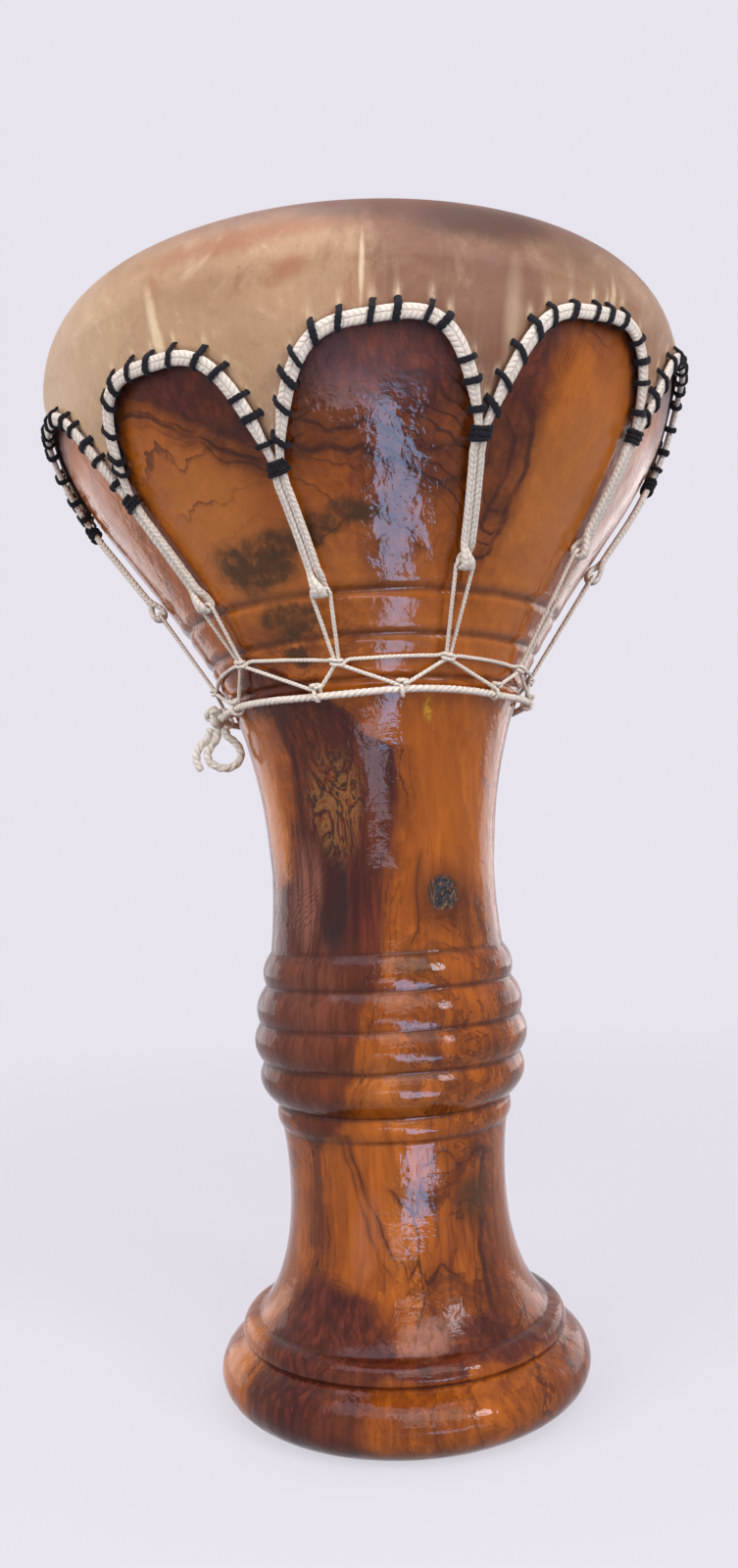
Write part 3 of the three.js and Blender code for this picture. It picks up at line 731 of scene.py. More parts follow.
def lacingLoop(k):
    s = lacingSettings
    eye, r = eyeFrame(k), s["radius"]
    angle, height = knotPlace(k)

    def leg(side):
        line = []
        for rise in (-s["legRun"], s["legRun"]):
            where = frameAt(angle, height + rise)
            line.append(stationAt(place(where, s["knotLift"], side * s["legShift"]), where[1], r))
        return line

    def corner(side):
        lift = skirtSettings["eyeLift"]
        return [stationAt(place(eye, lift, side * (s["eyeSide"] - inwards), drop), eye[1], r)
                for inwards, drop in s["eyeCorner"]]

    def half(side):  # up from the knot to the middle of the eye
        lower, upper = leg(side), corner(side)
        return lower + between(lower[1], upper[0], 0.08, 0.5, 0.92) + upper

    return half(-1) + half(1)[::-1]


def hitchFrame(k, rise=0.0):
    s = lacingSettings
    return frameAt(valleyAngle(k) + s["hitchLean"] + s["hitchTurn"][k % len(s["hitchTurn"])],
                   tieSettings["ringHeight"] + rise)


def hitchStations(k):
    s, t = lacingSettings, tieSettings
    where = hitchFrame(k)
    first, last = s["hitchArc"]
    stations = []
    for degrees in np.linspace(first, last, 10):
        turn, share = math.radians(degrees), (degrees - first) / (last - first)
        rise, lift = math.cos(turn), math.sin(turn)
        at = place(where, t["ringLift"] + s["hitchReach"] * lift, s["legShift"] * (2 * share - 1),
                   -s["hitchReach"] * rise)
        stations.append(stationAt(at, where[1] * lift - where[3] * rise, s["radius"]))
    return stations


def collarStations(k):  # a knot's turn round the two strands where they meet above the ring cord
    s, t = lacingSettings, tieSettings
    where = hitchFrame(k, s["collarRise"])
    deep, wide = s["collarSize"]
    stations = []
    for degrees in range(0, 361, 30):
        turn = math.radians(degrees)
        lift, aside = math.cos(turn), math.sin(turn)
        at = place(where, t["ringLift"] + deep * lift, wide * aside, -s["collarFall"] * degrees / 360)
        stations.append(stationAt(at, where[1] * lift + where[2] * aside, s["radius"]))
    return stations


lacingStations = []
for k in scallops:
    loop, hitch, after = lacingLoop(k), hitchStations(k), lacingLoop(k + 1)
    lacingStations += loop + between(loop[-1], hitch[0], 0.1, 0.4, 0.7, 0.93)
    lacingStations += hitch + between(hitch[-1], after[0], 0.07, 0.5, 0.9)
lacing, _ = tubePiece("lacingCord", lacingStations, lacingSettings["shape"], closed=True)
collars = [tubePiece("collar%d" % k, collarStations(k), lacingSettings["shape"])[0]
           for k in scallops]
lacing = joined("lacingCord", [lacing] + collars)
standFor(lacing, "lacing_cord")


def crossStations(k):
    s = lacingSettings
    angle, height = knotPlace(k)
    nextAngle, nextHeight = knotPlace(k + 1)
    deep = s["crossReach"] * s["radius"]
    wide = s["legShift"] + deep
    first, last = s["crossTurn"]
    fall = s["crossPitch"] * (last - first) / 360
    stations = []
    for degrees in np.linspace(first, last, 17):
        share = (degrees - first) / (last - first)
        where = frameAt(angle, height + fall * (0.5 - share))
        turn = math.radians(degrees)
        at = place(where, s["knotLift"] + deep * math.cos(turn), wide * math.sin(turn))
        out = where[2] * math.sin(turn) + where[1] * math.cos(turn)
        stations.append(stationAt(at, out, s["radius"]))
    for share in (0.1, 0.25, 0.4, 0.5, 0.6, 0.75, 0.9):
        where = frameAt(angle + (nextAngle - angle) * share, height + (nextHeight - height) * share)
        stations.append(stationAt(place(where, s["crossLift"]), where[1], s["radius"]))
    return stations


crossLine = []
for k in scallops:
    crossLine += crossStations(k)
crossCord, _ = tubePiece("crossCord", crossLine, lacingSettings["shape"], closed=True)
standFor(crossCord, "cross_cord")


def ringStations(s, t):
    first, last = t["angle"] + s["ringEnds"], t["angle"] + 360 - s["ringEnds"]
    stations = []
    for angle in np.linspace(first, last, 120):
        sag = s["ringSag"] * math.sin(math.radians(s["ringWaves"] * angle))
        where = frameAt(angle, t["ringHeight"] + sag)
        stations.append(stationAt(place(where, t["ringLift"]), where[1], s["ringRadius"]))
    return stations


ringCord, _ = tubePiece("ringCord", ringStations(lacingSettings, tieSettings), lacingSettings["ringShape"])
standFor(ringCord, "ring_cord")
print("lacing, cross cord and ring cord made")


# Tied knot: an overhand knot drawn tight
def knotStations(s):
    turn = np.linspace(0, 2 * np.pi, 49)[:-1]
    x, y = np.sin(turn) + 2 * np.sin(2 * turn), np.cos(turn) - 2 * np.cos(2 * turn)
    z = -np.sin(3 * turn)
    line = np.stack([x / 3, y / 3, z], axis=1)
    radius = s["cordRadius"] * 1.08  # the strands bulge a little in the knot
    size = np.array(s["knotSize"]) / 2 - radius
    middle = tieBase + [0, 0, s["knotSize"][2] / 2]
    at = middle + line[:, :1] * size[0] * tieOutward + line[:, 2:] * size[1] * tieSideways
    at = at + line[:, 1:2] * size[2] * np.array([0, 0, 1])
    aside = [0.01, 0.02, 0.03]  # so that no direction is without length
    return [stationAt(p, p - middle + aside, radius) for p in at]


knotShape = dict(tieSettings["shape"], step=tieSettings["knotStep"])
tieKnot, _ = tubePiece("tieKnot", knotStations(tieSettings), knotShape, closed=True)
standFor(tieKnot, "tie_knot")
print("tied knot made")


# Skin head
skinSettings = {
    "columnsPerScallop": 72,
    "headRows": 16,
    "rimRows": 14,
    "skirtRows": 30,
    "pucker": 0.28,  # at the stitches
    "puckerWidth": 0.85,
    "fold": 0.35,  # pulled from the rim to a valley
    "foldWidth": 1.6,  # degrees
    "foldFade": (6, 30),  # from above the widest place of the bowl, and over how far down
    "cutMargin": 0.001,  # metres
}


def skinStations(angle, edge, lift):
    s = skinSettings
    head = shellSettings["bowl"] - shellSettings["rimWidth"]
    flat = np.linspace(0, head, s["headRows"] + 1)[1:-1]
    flat = np.stack([flat, np.full_like(flat, rimTop + lift)], axis=1)
    slant = np.linspace(math.pi / 2, 0, s["rimRows"] + 1)
    n = unit(np.stack([np.cos(slant) / shellSettings["rimWidth"],
                       np.sin(slant) / shellSettings["rimHeight"]], 1))
    upper = np.vstack([flat, rimPoint(slant) + n * lift])
    share = (np.arange(1, s["skirtRows"] + 1) / s["skirtRows"])[None]
    z = bowlWidest + (edge[:, None] - bowlWidest) * share
    skirt = np.stack([radiusAt(z), z], axis=-1) + normalAt(z) * lift
    rz = np.concatenate([np.broadcast_to(upper, (len(angle),) + upper.shape), skirt], axis=1)
    turn = np.radians(angle)[:, None]
    return np.stack([rz[..., 0] * np.sin(turn), -rz[..., 0] * np.cos(turn), rz[..., 1]], axis=-1)


def makeSkin(s):
    angle, edge, owner = [], [], []
    for k in scallops:
        share = 2 * np.arange(s["columnsPerScallop"]) / s["columnsPerScallop"] - 1
        angle.append(valleyAngle(k) + span * (share + 1) / 2)
        edge.append(edgeHeight(k, share))
        owner += [k] * s["columnsPerScallop"]
    angle, edge, owner = np.concatenate(angle), np.concatenate(edge), np.array(owner)
    low = shellSettings["skinGap"]
    outer = skinStations(angle, edge, skinTop)
    inner = skinStations(angle, edge, low)
    outward = unit(outer - inner)
    pull = np.zeros(outer.shape[:2])
    for k in scallops:
        mine = np.flatnonzero(np.isin(owner, [(k + beside) % len(scallops) for beside in (-1, 0, 1)]))
        for hole, gap in zip(holePlaces(k), holeGaps[k]):
            away = outer[mine] - hole
            flatAway = np.sqrt(away[..., 0] ** 2 + away[..., 1] ** 2)
            upAway = (away[..., 2] - 1.3 * gap) / (1.5 + 1.1 * gap)  # a deep stitch pulls further up
            mark = np.exp(-(flatAway / s["puckerWidth"]) ** 2 - upAway ** 2)
            pull[mine] = np.maximum(pull[mine], mark)
    above, fade = s["foldFade"]
    down = np.clip((bowlWidest + above - outer[..., 2]) / fade, 0, 1)
    toValley = np.abs((angle - skirtSettings["frontValley"] + span / 2) % span - span / 2)[:, None]
    ridge = np.exp(-(toValley / s["foldWidth"]) ** 2) * down * s["fold"]
    outer = outer + outward * (s["pucker"] * pull + ridge)[..., None]
    # both faces as one closed sheet, with a point in the middle of each
    columns, depth = len(angle), 2 * outer.shape[1]
    both = np.concatenate([outer, inner[:, ::-1]], axis=1).reshape(-1, 3)
    points = np.vstack([[[0, 0, shellSettings["height"]], [0, 0, rimTop + low]], both])
    top = 2 + np.arange(columns) * depth
    bottom = top + depth - 1
    faces = (gridFaces(columns, depth, True, False) + 2).tolist()
    faces += np.stack([np.zeros_like(top), top, np.roll(top, -1)], 1).tolist()
    faces += np.stack([np.ones_like(top), np.roll(bottom, -1), bottom], 1).tolist()
    piece = makeMesh("skinHead", points, faces)
    farFromEdge = 80
    for name, middle, values in (("stretch", 0, pull),
                                 ("aboveEdge", farFromEdge, outer[..., 2] - edge[:, None])):
        values = np.concatenate([values, np.zeros_like(pull)], axis=1).ravel()
        layer = piece.data.attributes.new(name, "FLOAT", "POINT")
        layer.data.foreach_set("value", np.r_[middle, middle, values].astype(np.float32))
    a, b = outer, np.roll(outer, -1, 0)
    cells = np.cross(b[:, :-1] - a[:, :-1], a[:, 1:] - a[:, :-1])
    area = np.linalg.norm(cells, axis=-1).sum() * mm * mm
    return piece, float(area)


skin, skinArea = makeSkin(skinSettings)
standFor(skin, "drumhead")
print("skin head made, area", round(skinArea, 4), "square metres")


# Material building: values of shader nodes that can be added, scaled and compared
degreesPerRadian, radiansPerDegree = 57.2958, 0.0174533


class nodeValue:
    def __init__(self, socket):
        self.socket = socket

    def __add__(self, other):
        return calc("ADD", self, other)

    def __radd__(self, other):
        return calc("ADD", other, self)

    def __sub__(self, other):
        return calc("SUBTRACT", self, other)

    def __rsub__(self, other):
        return calc("SUBTRACT", other, self)

    def __mul__(self, other):
        return calc("MULTIPLY", self, other)

    def __truediv__(self, other):
        return calc("DIVIDE", self, other)

    def __abs__(self):
        return calc("ABSOLUTE", self)


def outputsOf(node):
    return {socket.name: nodeValue(socket) for socket in node.outputs}


def newNode(kind, *given):  # in the tree that the first given value comes from
    tree = next(value.socket.id_data for value in given if isinstance(value, nodeValue))
    return tree.nodes.new(kind)


def feed(socket, value):
    if isinstance(value, nodeValue):
        socket.id_data.links.new(value.socket, socket)
    elif isinstance(value, (tuple, list)) and len(value) == 3 and socket.type == "RGBA":
        socket.default_value = (*value, 1.0)
    else:
        socket.default_value = value


def feedAll(node, values, output=0):  # in the order of the node's sockets, or by their names or places
    pairs = values.items() if isinstance(values, dict) else enumerate(values)
    for key, value in pairs:
        feed(node.inputs[key], value)
    return nodeValue(node.outputs[output])


def calc(operation, *values):
    node = newNode("ShaderNodeMath", *values)
    node.operation = operation
    return feedAll(node, values)


def most(*values):
    return reduce(partial(calc, "MAXIMUM"), values)


def least(*values):
    return reduce(partial(calc, "MINIMUM"), values)


def centred(value, amount):  # noise that goes both ways
    return (value - 0.5) * amount


def distance(x, y):
    return calc("SQRT", x * x + y * y)


def spread(value, low, high, toLow=0.0, toHigh=1.0, kind="SMOOTHSTEP"):
    node = newNode("ShaderNodeMapRange", value)
    node.interpolation_type = kind
    return feedAll(node, (value, low, high, toLow, toHigh))


def mixed(factor, a, b, kind="MIX"):
    node = newNode("ShaderNodeMix", factor, a, b)
    node.data_type = "RGBA"
    node.blend_type = kind
    return feedAll(node, {0: factor, 6: a, 7: b}, 2)  # places of the colour sockets


def shaded(colour, share, value, dark, light):
    return mixed(share, colour, mixed(value, dark, light), "MULTIPLY")


def noise(vector, scale, detail=3.0, roughness=0.5, distortion=0.0, output="Fac"):
    values = {"Vector": vector, "Scale": scale, "Detail": detail, "Roughness": roughness,
              "Distortion": distortion}
    return feedAll(newNode("ShaderNodeTexNoise", vector), values, output)


def ramp(factor, stops):
    node = newNode("ShaderNodeValToRGB", factor)
    bar = node.color_ramp.elements
    for where, colour in stops[1:-1]:
        bar.new(where).color = (*colour, 1.0)
    for element, (where, colour) in ((bar[0], stops[0]), (bar[len(bar) - 1], stops[-1])):
        element.position = where
        element.color = (*colour, 1.0)
    return feedAll(node, [factor])


def traced(given, points):  # a value that runs through points of (given, value)
    first, last = points[0][0], points[-1][0]
    lowest, highest = min(v for _, v in points), max(v for _, v in points)
    share = spread(given, first, last, kind="LINEAR")
    stops = [((at - first) / (last - first), ((v - lowest) / (highest - lowest),) * 3) for at, v in points]
    return spread(ramp(share, stops), 0.0, 1.0, lowest, highest, "LINEAR")


def vectorCalc(operation, a, b):
    node = newNode("ShaderNodeVectorMath", a, b)
    node.operation = operation
    return feedAll(node, (a, b))


def scaled(vector, amount):
    return vectorCalc("MULTIPLY", vector, amount)


def split(value, kind="XYZ"):
    node = newNode("ShaderNodeSeparate" + kind, value)
    feed(node.inputs[0], value)
    return [nodeValue(socket) for socket in node.outputs]


def combined(x, y, z):
    return feedAll(newNode("ShaderNodeCombineXYZ", x, y, z), (x, y, z))


def attribute(point, name):
    node = newNode("ShaderNodeAttribute", point)
    node.attribute_name = name
    return nodeValue(node.outputs["Fac"])


def bumped(height, strength, depth):
    node = newNode("ShaderNodeBump", height)
    return feedAll(node, {"Height": height, "Strength": strength, "Distance": depth}, "Normal")


def newGroup(name, inputs, outputs):  # an input with no value of its own is a vector
    tree = bpy.data.node_groups.new(name, "ShaderNodeTree")
    for label, value in inputs.items():
        kind = "NodeSocketVector" if value is None else "NodeSocketFloat"
        socket = tree.interface.new_socket(label, in_out="INPUT", socket_type=kind)
        if value is not None:
            socket.default_value = value
    for label in outputs:
        tree.interface.new_socket(label, in_out="OUTPUT", socket_type="NodeSocketFloat")
    given = outputsOf(tree.nodes.new("NodeGroupInput"))
    return tree, given, tree.nodes.new("NodeGroupOutput").inputs


def useGroup(group, **values):
    node = newNode("ShaderNodeGroup", *values.values())
    node.node_tree = group
    feedAll(node, values)
    return outputsOf(node)


def newMaterial(name, roughness, **fixed):  # with the place on the surface and the shader's sockets
    material = bpy.data.materials.new(name)
    material.use_nodes = True
    nodes = material.node_tree.nodes
    sockets = nodes["Principled BSDF"].inputs
    feed(sockets["Roughness"], roughness)
    for label, value in fixed.items():
        feed(sockets[label.replace("_", " ")], value)
    return material, nodeValue(nodes.new("ShaderNodeTexCoord").outputs["Object"]), sockets


def roundPlaceGroup():  # degrees round the drum from its front, and millimetres up and out
    tree, given, result = newGroup("roundPlace", {"Point": None}, ["Angle", "Height", "Radius"])
    x, y, z = split(given["Point"])
    feed(result["Angle"], calc("ARCTAN2", x, y * -1.0) * degreesPerRadian)
    feed(result["Height"], z * 1000.0)
    feed(result["Radius"], distance(x, y) * 1000.0)
    return tree


def stainGroup():  # an oval stain with a soft edge
    names = ["Angle", "Height", "MiddleAngle", "MiddleHeight", "HalfAngle", "HalfHeight", "Lean", "Soft"]
    tree, given, result = newGroup("stain", dict.fromkeys(names, 0.0), ["Mask"])
    up = given["Height"] - given["MiddleHeight"]
    aside = calc("WRAP", given["Angle"] - given["MiddleAngle"] - up * given["Lean"], 180.0, -180.0)
    reach = distance(aside / given["HalfAngle"], up / given["HalfHeight"])
    feed(result["Mask"], spread(reach, 1.0 - given["Soft"], 1.0 + given["Soft"], 1.0, 0.0))
    return tree


def fibreGroup():  # fine streaks that run up the drum
    tree, given, result = newGroup("fibre", {"Point": None, "Across": 400.0, "Along": 14.0}, ["Streak"])
    size = combined(given["Across"], given["Across"], given["Along"])
    feed(result["Streak"], noise(scaled(given["Point"], size), 1.0, 3.0, 0.6))
    return tree


def plyGroup():  # strands that run round a cord
    tree, given, result = newGroup("plyTwist", {"Map": None, "Pitch": 3.0, "Plies": 2.0, "Fibres": 9.0},
                                   ["Height", "Hollow"])
    along, around, _ = split(given["Map"])
    turn = around - along / given["Pitch"]

    def wave(times):
        return abs(calc("SINE", turn * times * math.pi))

    strand = 1.0 - calc("POWER", 1.0 - wave(given["Plies"]), 3.0)
    feed(result["Height"], strand * 0.8 + wave(given["Plies"] * given["Fibres"]) * 0.2)
    feed(result["Hollow"], 1.0 - strand)
    return tree


def grimeGroup():  # handling marks: soft blotches with specks
    tree, given, result = newGroup("grime", {"Point": None, "Size": 40.0}, ["Blotch", "Speck"])
    soft = noise(given["Point"], given["Size"], 4.0, 0.55)
    fine = noise(given["Point"], given["Size"] * 22.0, 2.0, 0.5)
    feed(result["Blotch"], spread(soft, 0.42, 0.72))
    feed(result["Speck"], spread(fine, 0.66, 0.78))
    return tree


roundPlace, stain, fibre = roundPlaceGroup(), stainGroup(), fibreGroup()
plyTwist, grime = plyGroup(), grimeGroup()
print("shared node groups made")


# Olive wood
woodSettings = {
    "amber": (0.50, 0.134, 0.009),
    "honey": (0.35, 0.085, 0.006),
    "brown": (0.19, 0.042, 0.004),
    "umber": (0.085, 0.018, 0.004),
    "line": (0.042, 0.008, 0.003),
    "red": (0.160, 0.030, 0.006),
    "knotGrey": (0.03, 0.026, 0.03),
    "heart": (0.046, 0.0085, 0.0065),
    "heartLight": (0.150, 0.027, 0.011),
    "smoke": (0.066, 0.028, 0.008),
    "char": (0.012, 0.010, 0.011),
    "pale": (0.56, 0.185, 0.036),
    "ochre": (0.27, 0.115, 0.034),
    "rose": (0.34, 0.13, 0.08),
    "yellow": (0.62, 0.32, 0.02),
    "pith": (-0.022, -0.034),
    "ringWidth": 0.0052,
    "gloss": (0.06, 0.17),
    # left and right edge of the dark heartwood down the front: height, angle
    "heartLeft": [(0, -52), (16, -57), (27, -59), (34, -62), (43, -60), (51, -51), (58, -48), (92, -47),
                  (99, -52), (106, -66), (120, -84), (150, -88), (170, -86), (180, -74), (192, -54),
                  (204, -46), (235, -42), (248, -46), (256, -58), (268, -56)],
    "heartRight": [(0, -14), (10, -13.5), (20, -13), (25, -10), (31, -2), (36, -6), (43, -10), (48, -24),
                   (54, -40), (92, -41.5), (100, -30), (106, -24), (112, -19.5), (122.5, -16), (136, -12.4),
                   (148, -10.4), (156, -7), (170, -2.3), (185, 1.5), (201, 6), (221, 9.5), (237, 7),
                   (243, -5), (251, -11), (258, -22), (268, -42)],
    # softness of that edge and depth of its tone: height, factor
    "heartSoft": [(0, 1.0), (30, 1.2), (42, 2.4), (54, 4.0), (64, 3.0), (80, 1.2), (168, 1.0), (180, 2.6),
                  (206, 2.6), (218, 1.2), (268, 1.0)],
    "heartShare": [(0, 1.0), (48, 1.0), (62, 0.8), (104, 0.78), (158, 0.80), (174, 1.0), (240, 1.0),
                   (268, 0.9)],
    "heartTop": 268.0,
    # lower edge of the dark wood under the skin, and how far up it takes to turn dark: angle, millimetres
    "topEdge": [(-180, 344), (-150, 334), (-120, 352), (-90, 346), (-66, 352), (-52, 352), (-45, 347),
                (-40.8, 344.5), (-37, 341), (-32.7, 337.6), (-29, 333), (-25, 329.5), (-21, 325),
                (-16, 325), (-12.9, 330), (-8, 333), (0, 332), (5, 324), (9.5, 321), (14.4, 316.5),
                (19, 311), (22, 302), (26.2, 296), (30, 297), (31.3, 312), (32.7, 328), (34, 342),
                (38, 364), (60, 356), (100, 340), (140, 352), (180, 344)],
    "topFade": [(-180, 10), (-24, 6), (-15, 16), (0, 18), (10, 22), (18, 46), (33, 60), (38, 12),
                (180, 10)],
    # single dark lines up the drum (height, angle) and round it (angle, height), with half width and strength
    "upLines": [
        ([(56, -5), (62, -8.5), (75, -15), (88, -21), (100, -24)], 0.9, 0.95),
        ([(50, -10), (66, -16), (84, -23), (99, -28)], 0.6, 0.7),
        ([(30, 40), (45, 40.5), (60, 42), (79, 44), (92, 47)], 2.6, 0.9),
        ([(40, 31), (52, 36), (66, 38), (80, 37)], 0.8, 0.7),
        ([(166, 12), (176, 17), (186, 16), (200, 19)], 0.8, 0.7),
        ([(295, 25), (298, 30), (312, 31.2), (324, 31.8), (336, 30), (346, 25)], 1.1, 0.95),
        ([(302, 22), (306, 26), (318, 28), (330, 27.5), (342, 22)], 0.8, 0.85),
        ([(312, 20), (322, 23.5), (334, 22)], 0.6, 0.7),
    ],
    "roundLines": [
        ([(-18, 339), (-11.6, 336.5), (-8, 334.4), (-6.7, 332), (0, 332.8), (6, 331), (12, 327), (20, 326)],
         1.1, 0.9),
        ([(-17, 332), (-12.9, 330), (-10, 328), (-7, 329), (-3, 326), (1, 325), (5, 322.6), (9.5, 320.4),
          (14.4, 316), (20, 318)], 1.5, 0.95),
        ([(-46, 347), (-40.8, 343.5), (-37, 340), (-32.7, 336.6), (-29, 332), (-25, 328.5), (-19, 324)],
         1.3, 0.95),
        ([(-36, 334), (-31, 332), (-27, 327), (-22, 325), (-17, 320)], 0.8, 0.7),
        ([(-6, 80), (-1, 77.5), (5, 74), (9, 80), (15, 74.5), (22, 78.5), (30, 73.5), (38, 76), (48, 70)],
         0.8, 0.9),
        ([(-12, 58), (-7, 54), (-3, 58.5), (1, 53), (6, 57), (11, 52), (18, 55), (26, 49)], 0.9, 0.9),
        ([(-14, 300), (-6, 306), (2, 309), (8, 305), (13, 298)], 0.7, 0.7),
        ([(12, 40), (22, 35), (34, 37), (46, 33), (60, 36)], 0.9, 0.8),
        ([(10, 90), (20, 94), (30, 89), (42, 93), (54, 88)], 0.8, 0.7),
    ],
    # stains: middle angle and height, half angle and height, lean in degrees for each millimetre,
    # softness and strength
    "redStains": [
        (4, 322, 14, 34, 0.0, 0.6, 0.65),
        (36, 140, 40, 40, 0.0, 0.7, 0.6),
        (-24, 60, 18, 36, 0.1, 0.5, 0.5),
        (38, 58, 26, 44, 0.0, 0.6, 0.85),
        (14, 38, 40, 12, 0.2, 0.5, 0.8),
        (2, 20, 22, 8, 0.0, 0.6, 0.85),
        (12, 2, 50, 8, 0.0, 0.8, 0.7),
        (72, 20, 30, 24, 0.0, 0.6, 0.75),
        (165, 200, 70, 70, 0.1, 0.4, 0.8),
    ],
    "heartStains": [
        (7, 327, 9, 19, 0.0, 0.6, 0.5),
        (5, 299, 5.5, 12, 0.0, 0.6, 0.5),
        (-84, 182, 18, 26, 0.0, 0.35, 0.85),
        (22, 28.5, 50, 3.2, 0.0, 0.45, 0.9),
        (34, 34, 14, 5, 0.3, 0.5, 0.75),
        (56, 52, 14, 22, 0.0, 0.8, 0.3),
        (58, 12, 20, 9, 0.0, 0.8, 0.3),
        (175, 140, 58, 90, 0.1, 0.3, 0.9),
        (-135, 320, 12, 30, 0.2, 0.5, 0.7),
        (110, 40, 24, 22, 0.2, 0.4, 0.8),
    ],
    "smokeStains": [
        (-29, 298, 12, 9, 0.0, 0.3, 1.0),
        (-18, 304, 8, 5, 0.4, 0.35, 0.95),
        (-7, 309, 11, 4, 0.4, 0.4, 1.0),
        (-24, 281, 10, 5.5, 0.0, 0.3, 1.0),
        (-24.5, 269.5, 4.0, 3.2, 0.0, 0.3, 1.0),
        (12, 162, 10, 5, 0.0, 0.7, 0.8),
        (40, 76, 11, 8, 0.0, 0.6, 0.95),
        (120, 290, 14, 8, 0.0, 0.6, 0.8),
    ],
    "roseStainsAndPaintedReflection": [  # lighter rose streaks in and beside the heartwood; those on the stem and foot are a painted pinkish reflection
        (-42, 186, 9, 19, 0.05, 0.5, 0.6),
        (-36, 150, 14, 20, 0.0, 0.7, 0.22),
        (-58, 240, 12, 12, 0.0, 0.7, 0.35),
        (9, 36, 8, 5, 0.1, 0.4, 0.6),
        (-18, 66, 7, 14, 0.2, 0.4, 0.3),
    ],
    "mottledStains": [
        (42, 134, 44, 48, 0.0, 0.4, 1.0),
        (40, 176, 22, 12, 0.0, 0.6, 1.0),
        (30, 80, 30, 24, 0.0, 0.4, 1.0),
        (24, 46, 36, 20, 0.0, 0.5, 0.9),
        (20, 12, 60, 12, 0.0, 0.5, 0.65),
        (-20, 268, 30, 14, 0.0, 0.6, 0.8),
        (-100, 90, 40, 60, 0.0, 0.5, 0.8),
    ],
    # pale wood, and patches of painted light on the bowl's panels, which face down, away from the lamps
    "paleStainsAndPaintedLight": [
        (-58, 206, 7.5, 28, -0.25, 0.35, 0.9),
        (-72, 20, 9, 22, 0.2, 0.3, 0.9),
        (-6, 122, 8, 8, 0.1, 0.6, 0.7),
        (0, 68, 9, 16, 0.1, 0.7, 0.25),
        (-20, 288, 16, 26, 0.0, 0.8, 0.5),
        (-36, 310, 14, 24, 0.0, 0.7, 0.7),
        (46, 318, 13, 36, 0.0, 0.7, 0.6),
        (-2, 296, 14, 12, 0.0, 0.7, 0.6),
        (14, 272, 50, 9, 0.0, 0.8, 0.35),
        (8, 116, 10, 12, 0.0, 0.7, 0.5),
    ],
    # height, half width and strength of the dark lines along the turned grooves
    "grooveLines": [(23.6, 1.2, 0.85), (31, 1.6, 0.4), (98.5, 1.3, 0.5), (107, 1.4, 0.6), (123, 1.7, 0.7),
                    (137.5, 1.7, 0.7), (151.5, 1.7, 0.7), (164, 1.5, 0.6), (260, 1.8, 0.55),
                    (274, 2.0, 0.6), (287.4, 2.2, 0.6)],
    "knot": [(28.5, 185.0, 8.0, 6.0, 0.0, 0.2, 1.0)],
    "knotHalo": [(28.5, 183.0, 13.6, 11.4, 0.0, 0.6, 0.8)],
    "burl": [(-22.5, 218.0, 13.5, 17.0, 0.0, 0.45, 1.0)],
    "burn": [(-25.0, 188.0, 7.5, 25.0, 0.02, 0.4, 0.8)],
    "flaw": [(18.5, 250.5, 1.6, 4.4, 0.0, 0.6, 1.0)],
}


def stainSum(angle, height, stains):
    masks = []
    for middle, up, halfAngle, halfHeight, lean, soft, strength in stains:
        oval = useGroup(stain, Angle=angle, Height=height, MiddleAngle=middle, MiddleHeight=up,
                        HalfAngle=halfAngle, HalfHeight=halfHeight, Lean=lean, Soft=soft)
        masks.append(oval["Mask"] * strength)
    return most(*masks)


def lineSum(given, across, lines):
    fade = 2.0  # at both ends of a line
    masks = []
    for points, half, strength in lines:
        first, last = points[0][0], points[-1][0]
        mask = spread(abs(across - traced(given, points)), half, half * 0.2, 0.0, strength)
        mask = mask * spread(given, first - fade, first + fade)
        masks.append(mask * spread(given, last + fade, last - fade))
    return most(*masks)


def widened(lines):  # the soft brown sides of growth lines
    return [(points, half * 4.0, strength * 0.6) for points, half, strength in lines]


def growthLines(depth, pitch, reach, wander):  # dark lines along an edge, on its outside
    turn = calc("FRACT", depth / pitch + wander)
    return spread(abs(turn - 0.5), 0.33, 0.5) * spread(depth, -reach, 0.0)


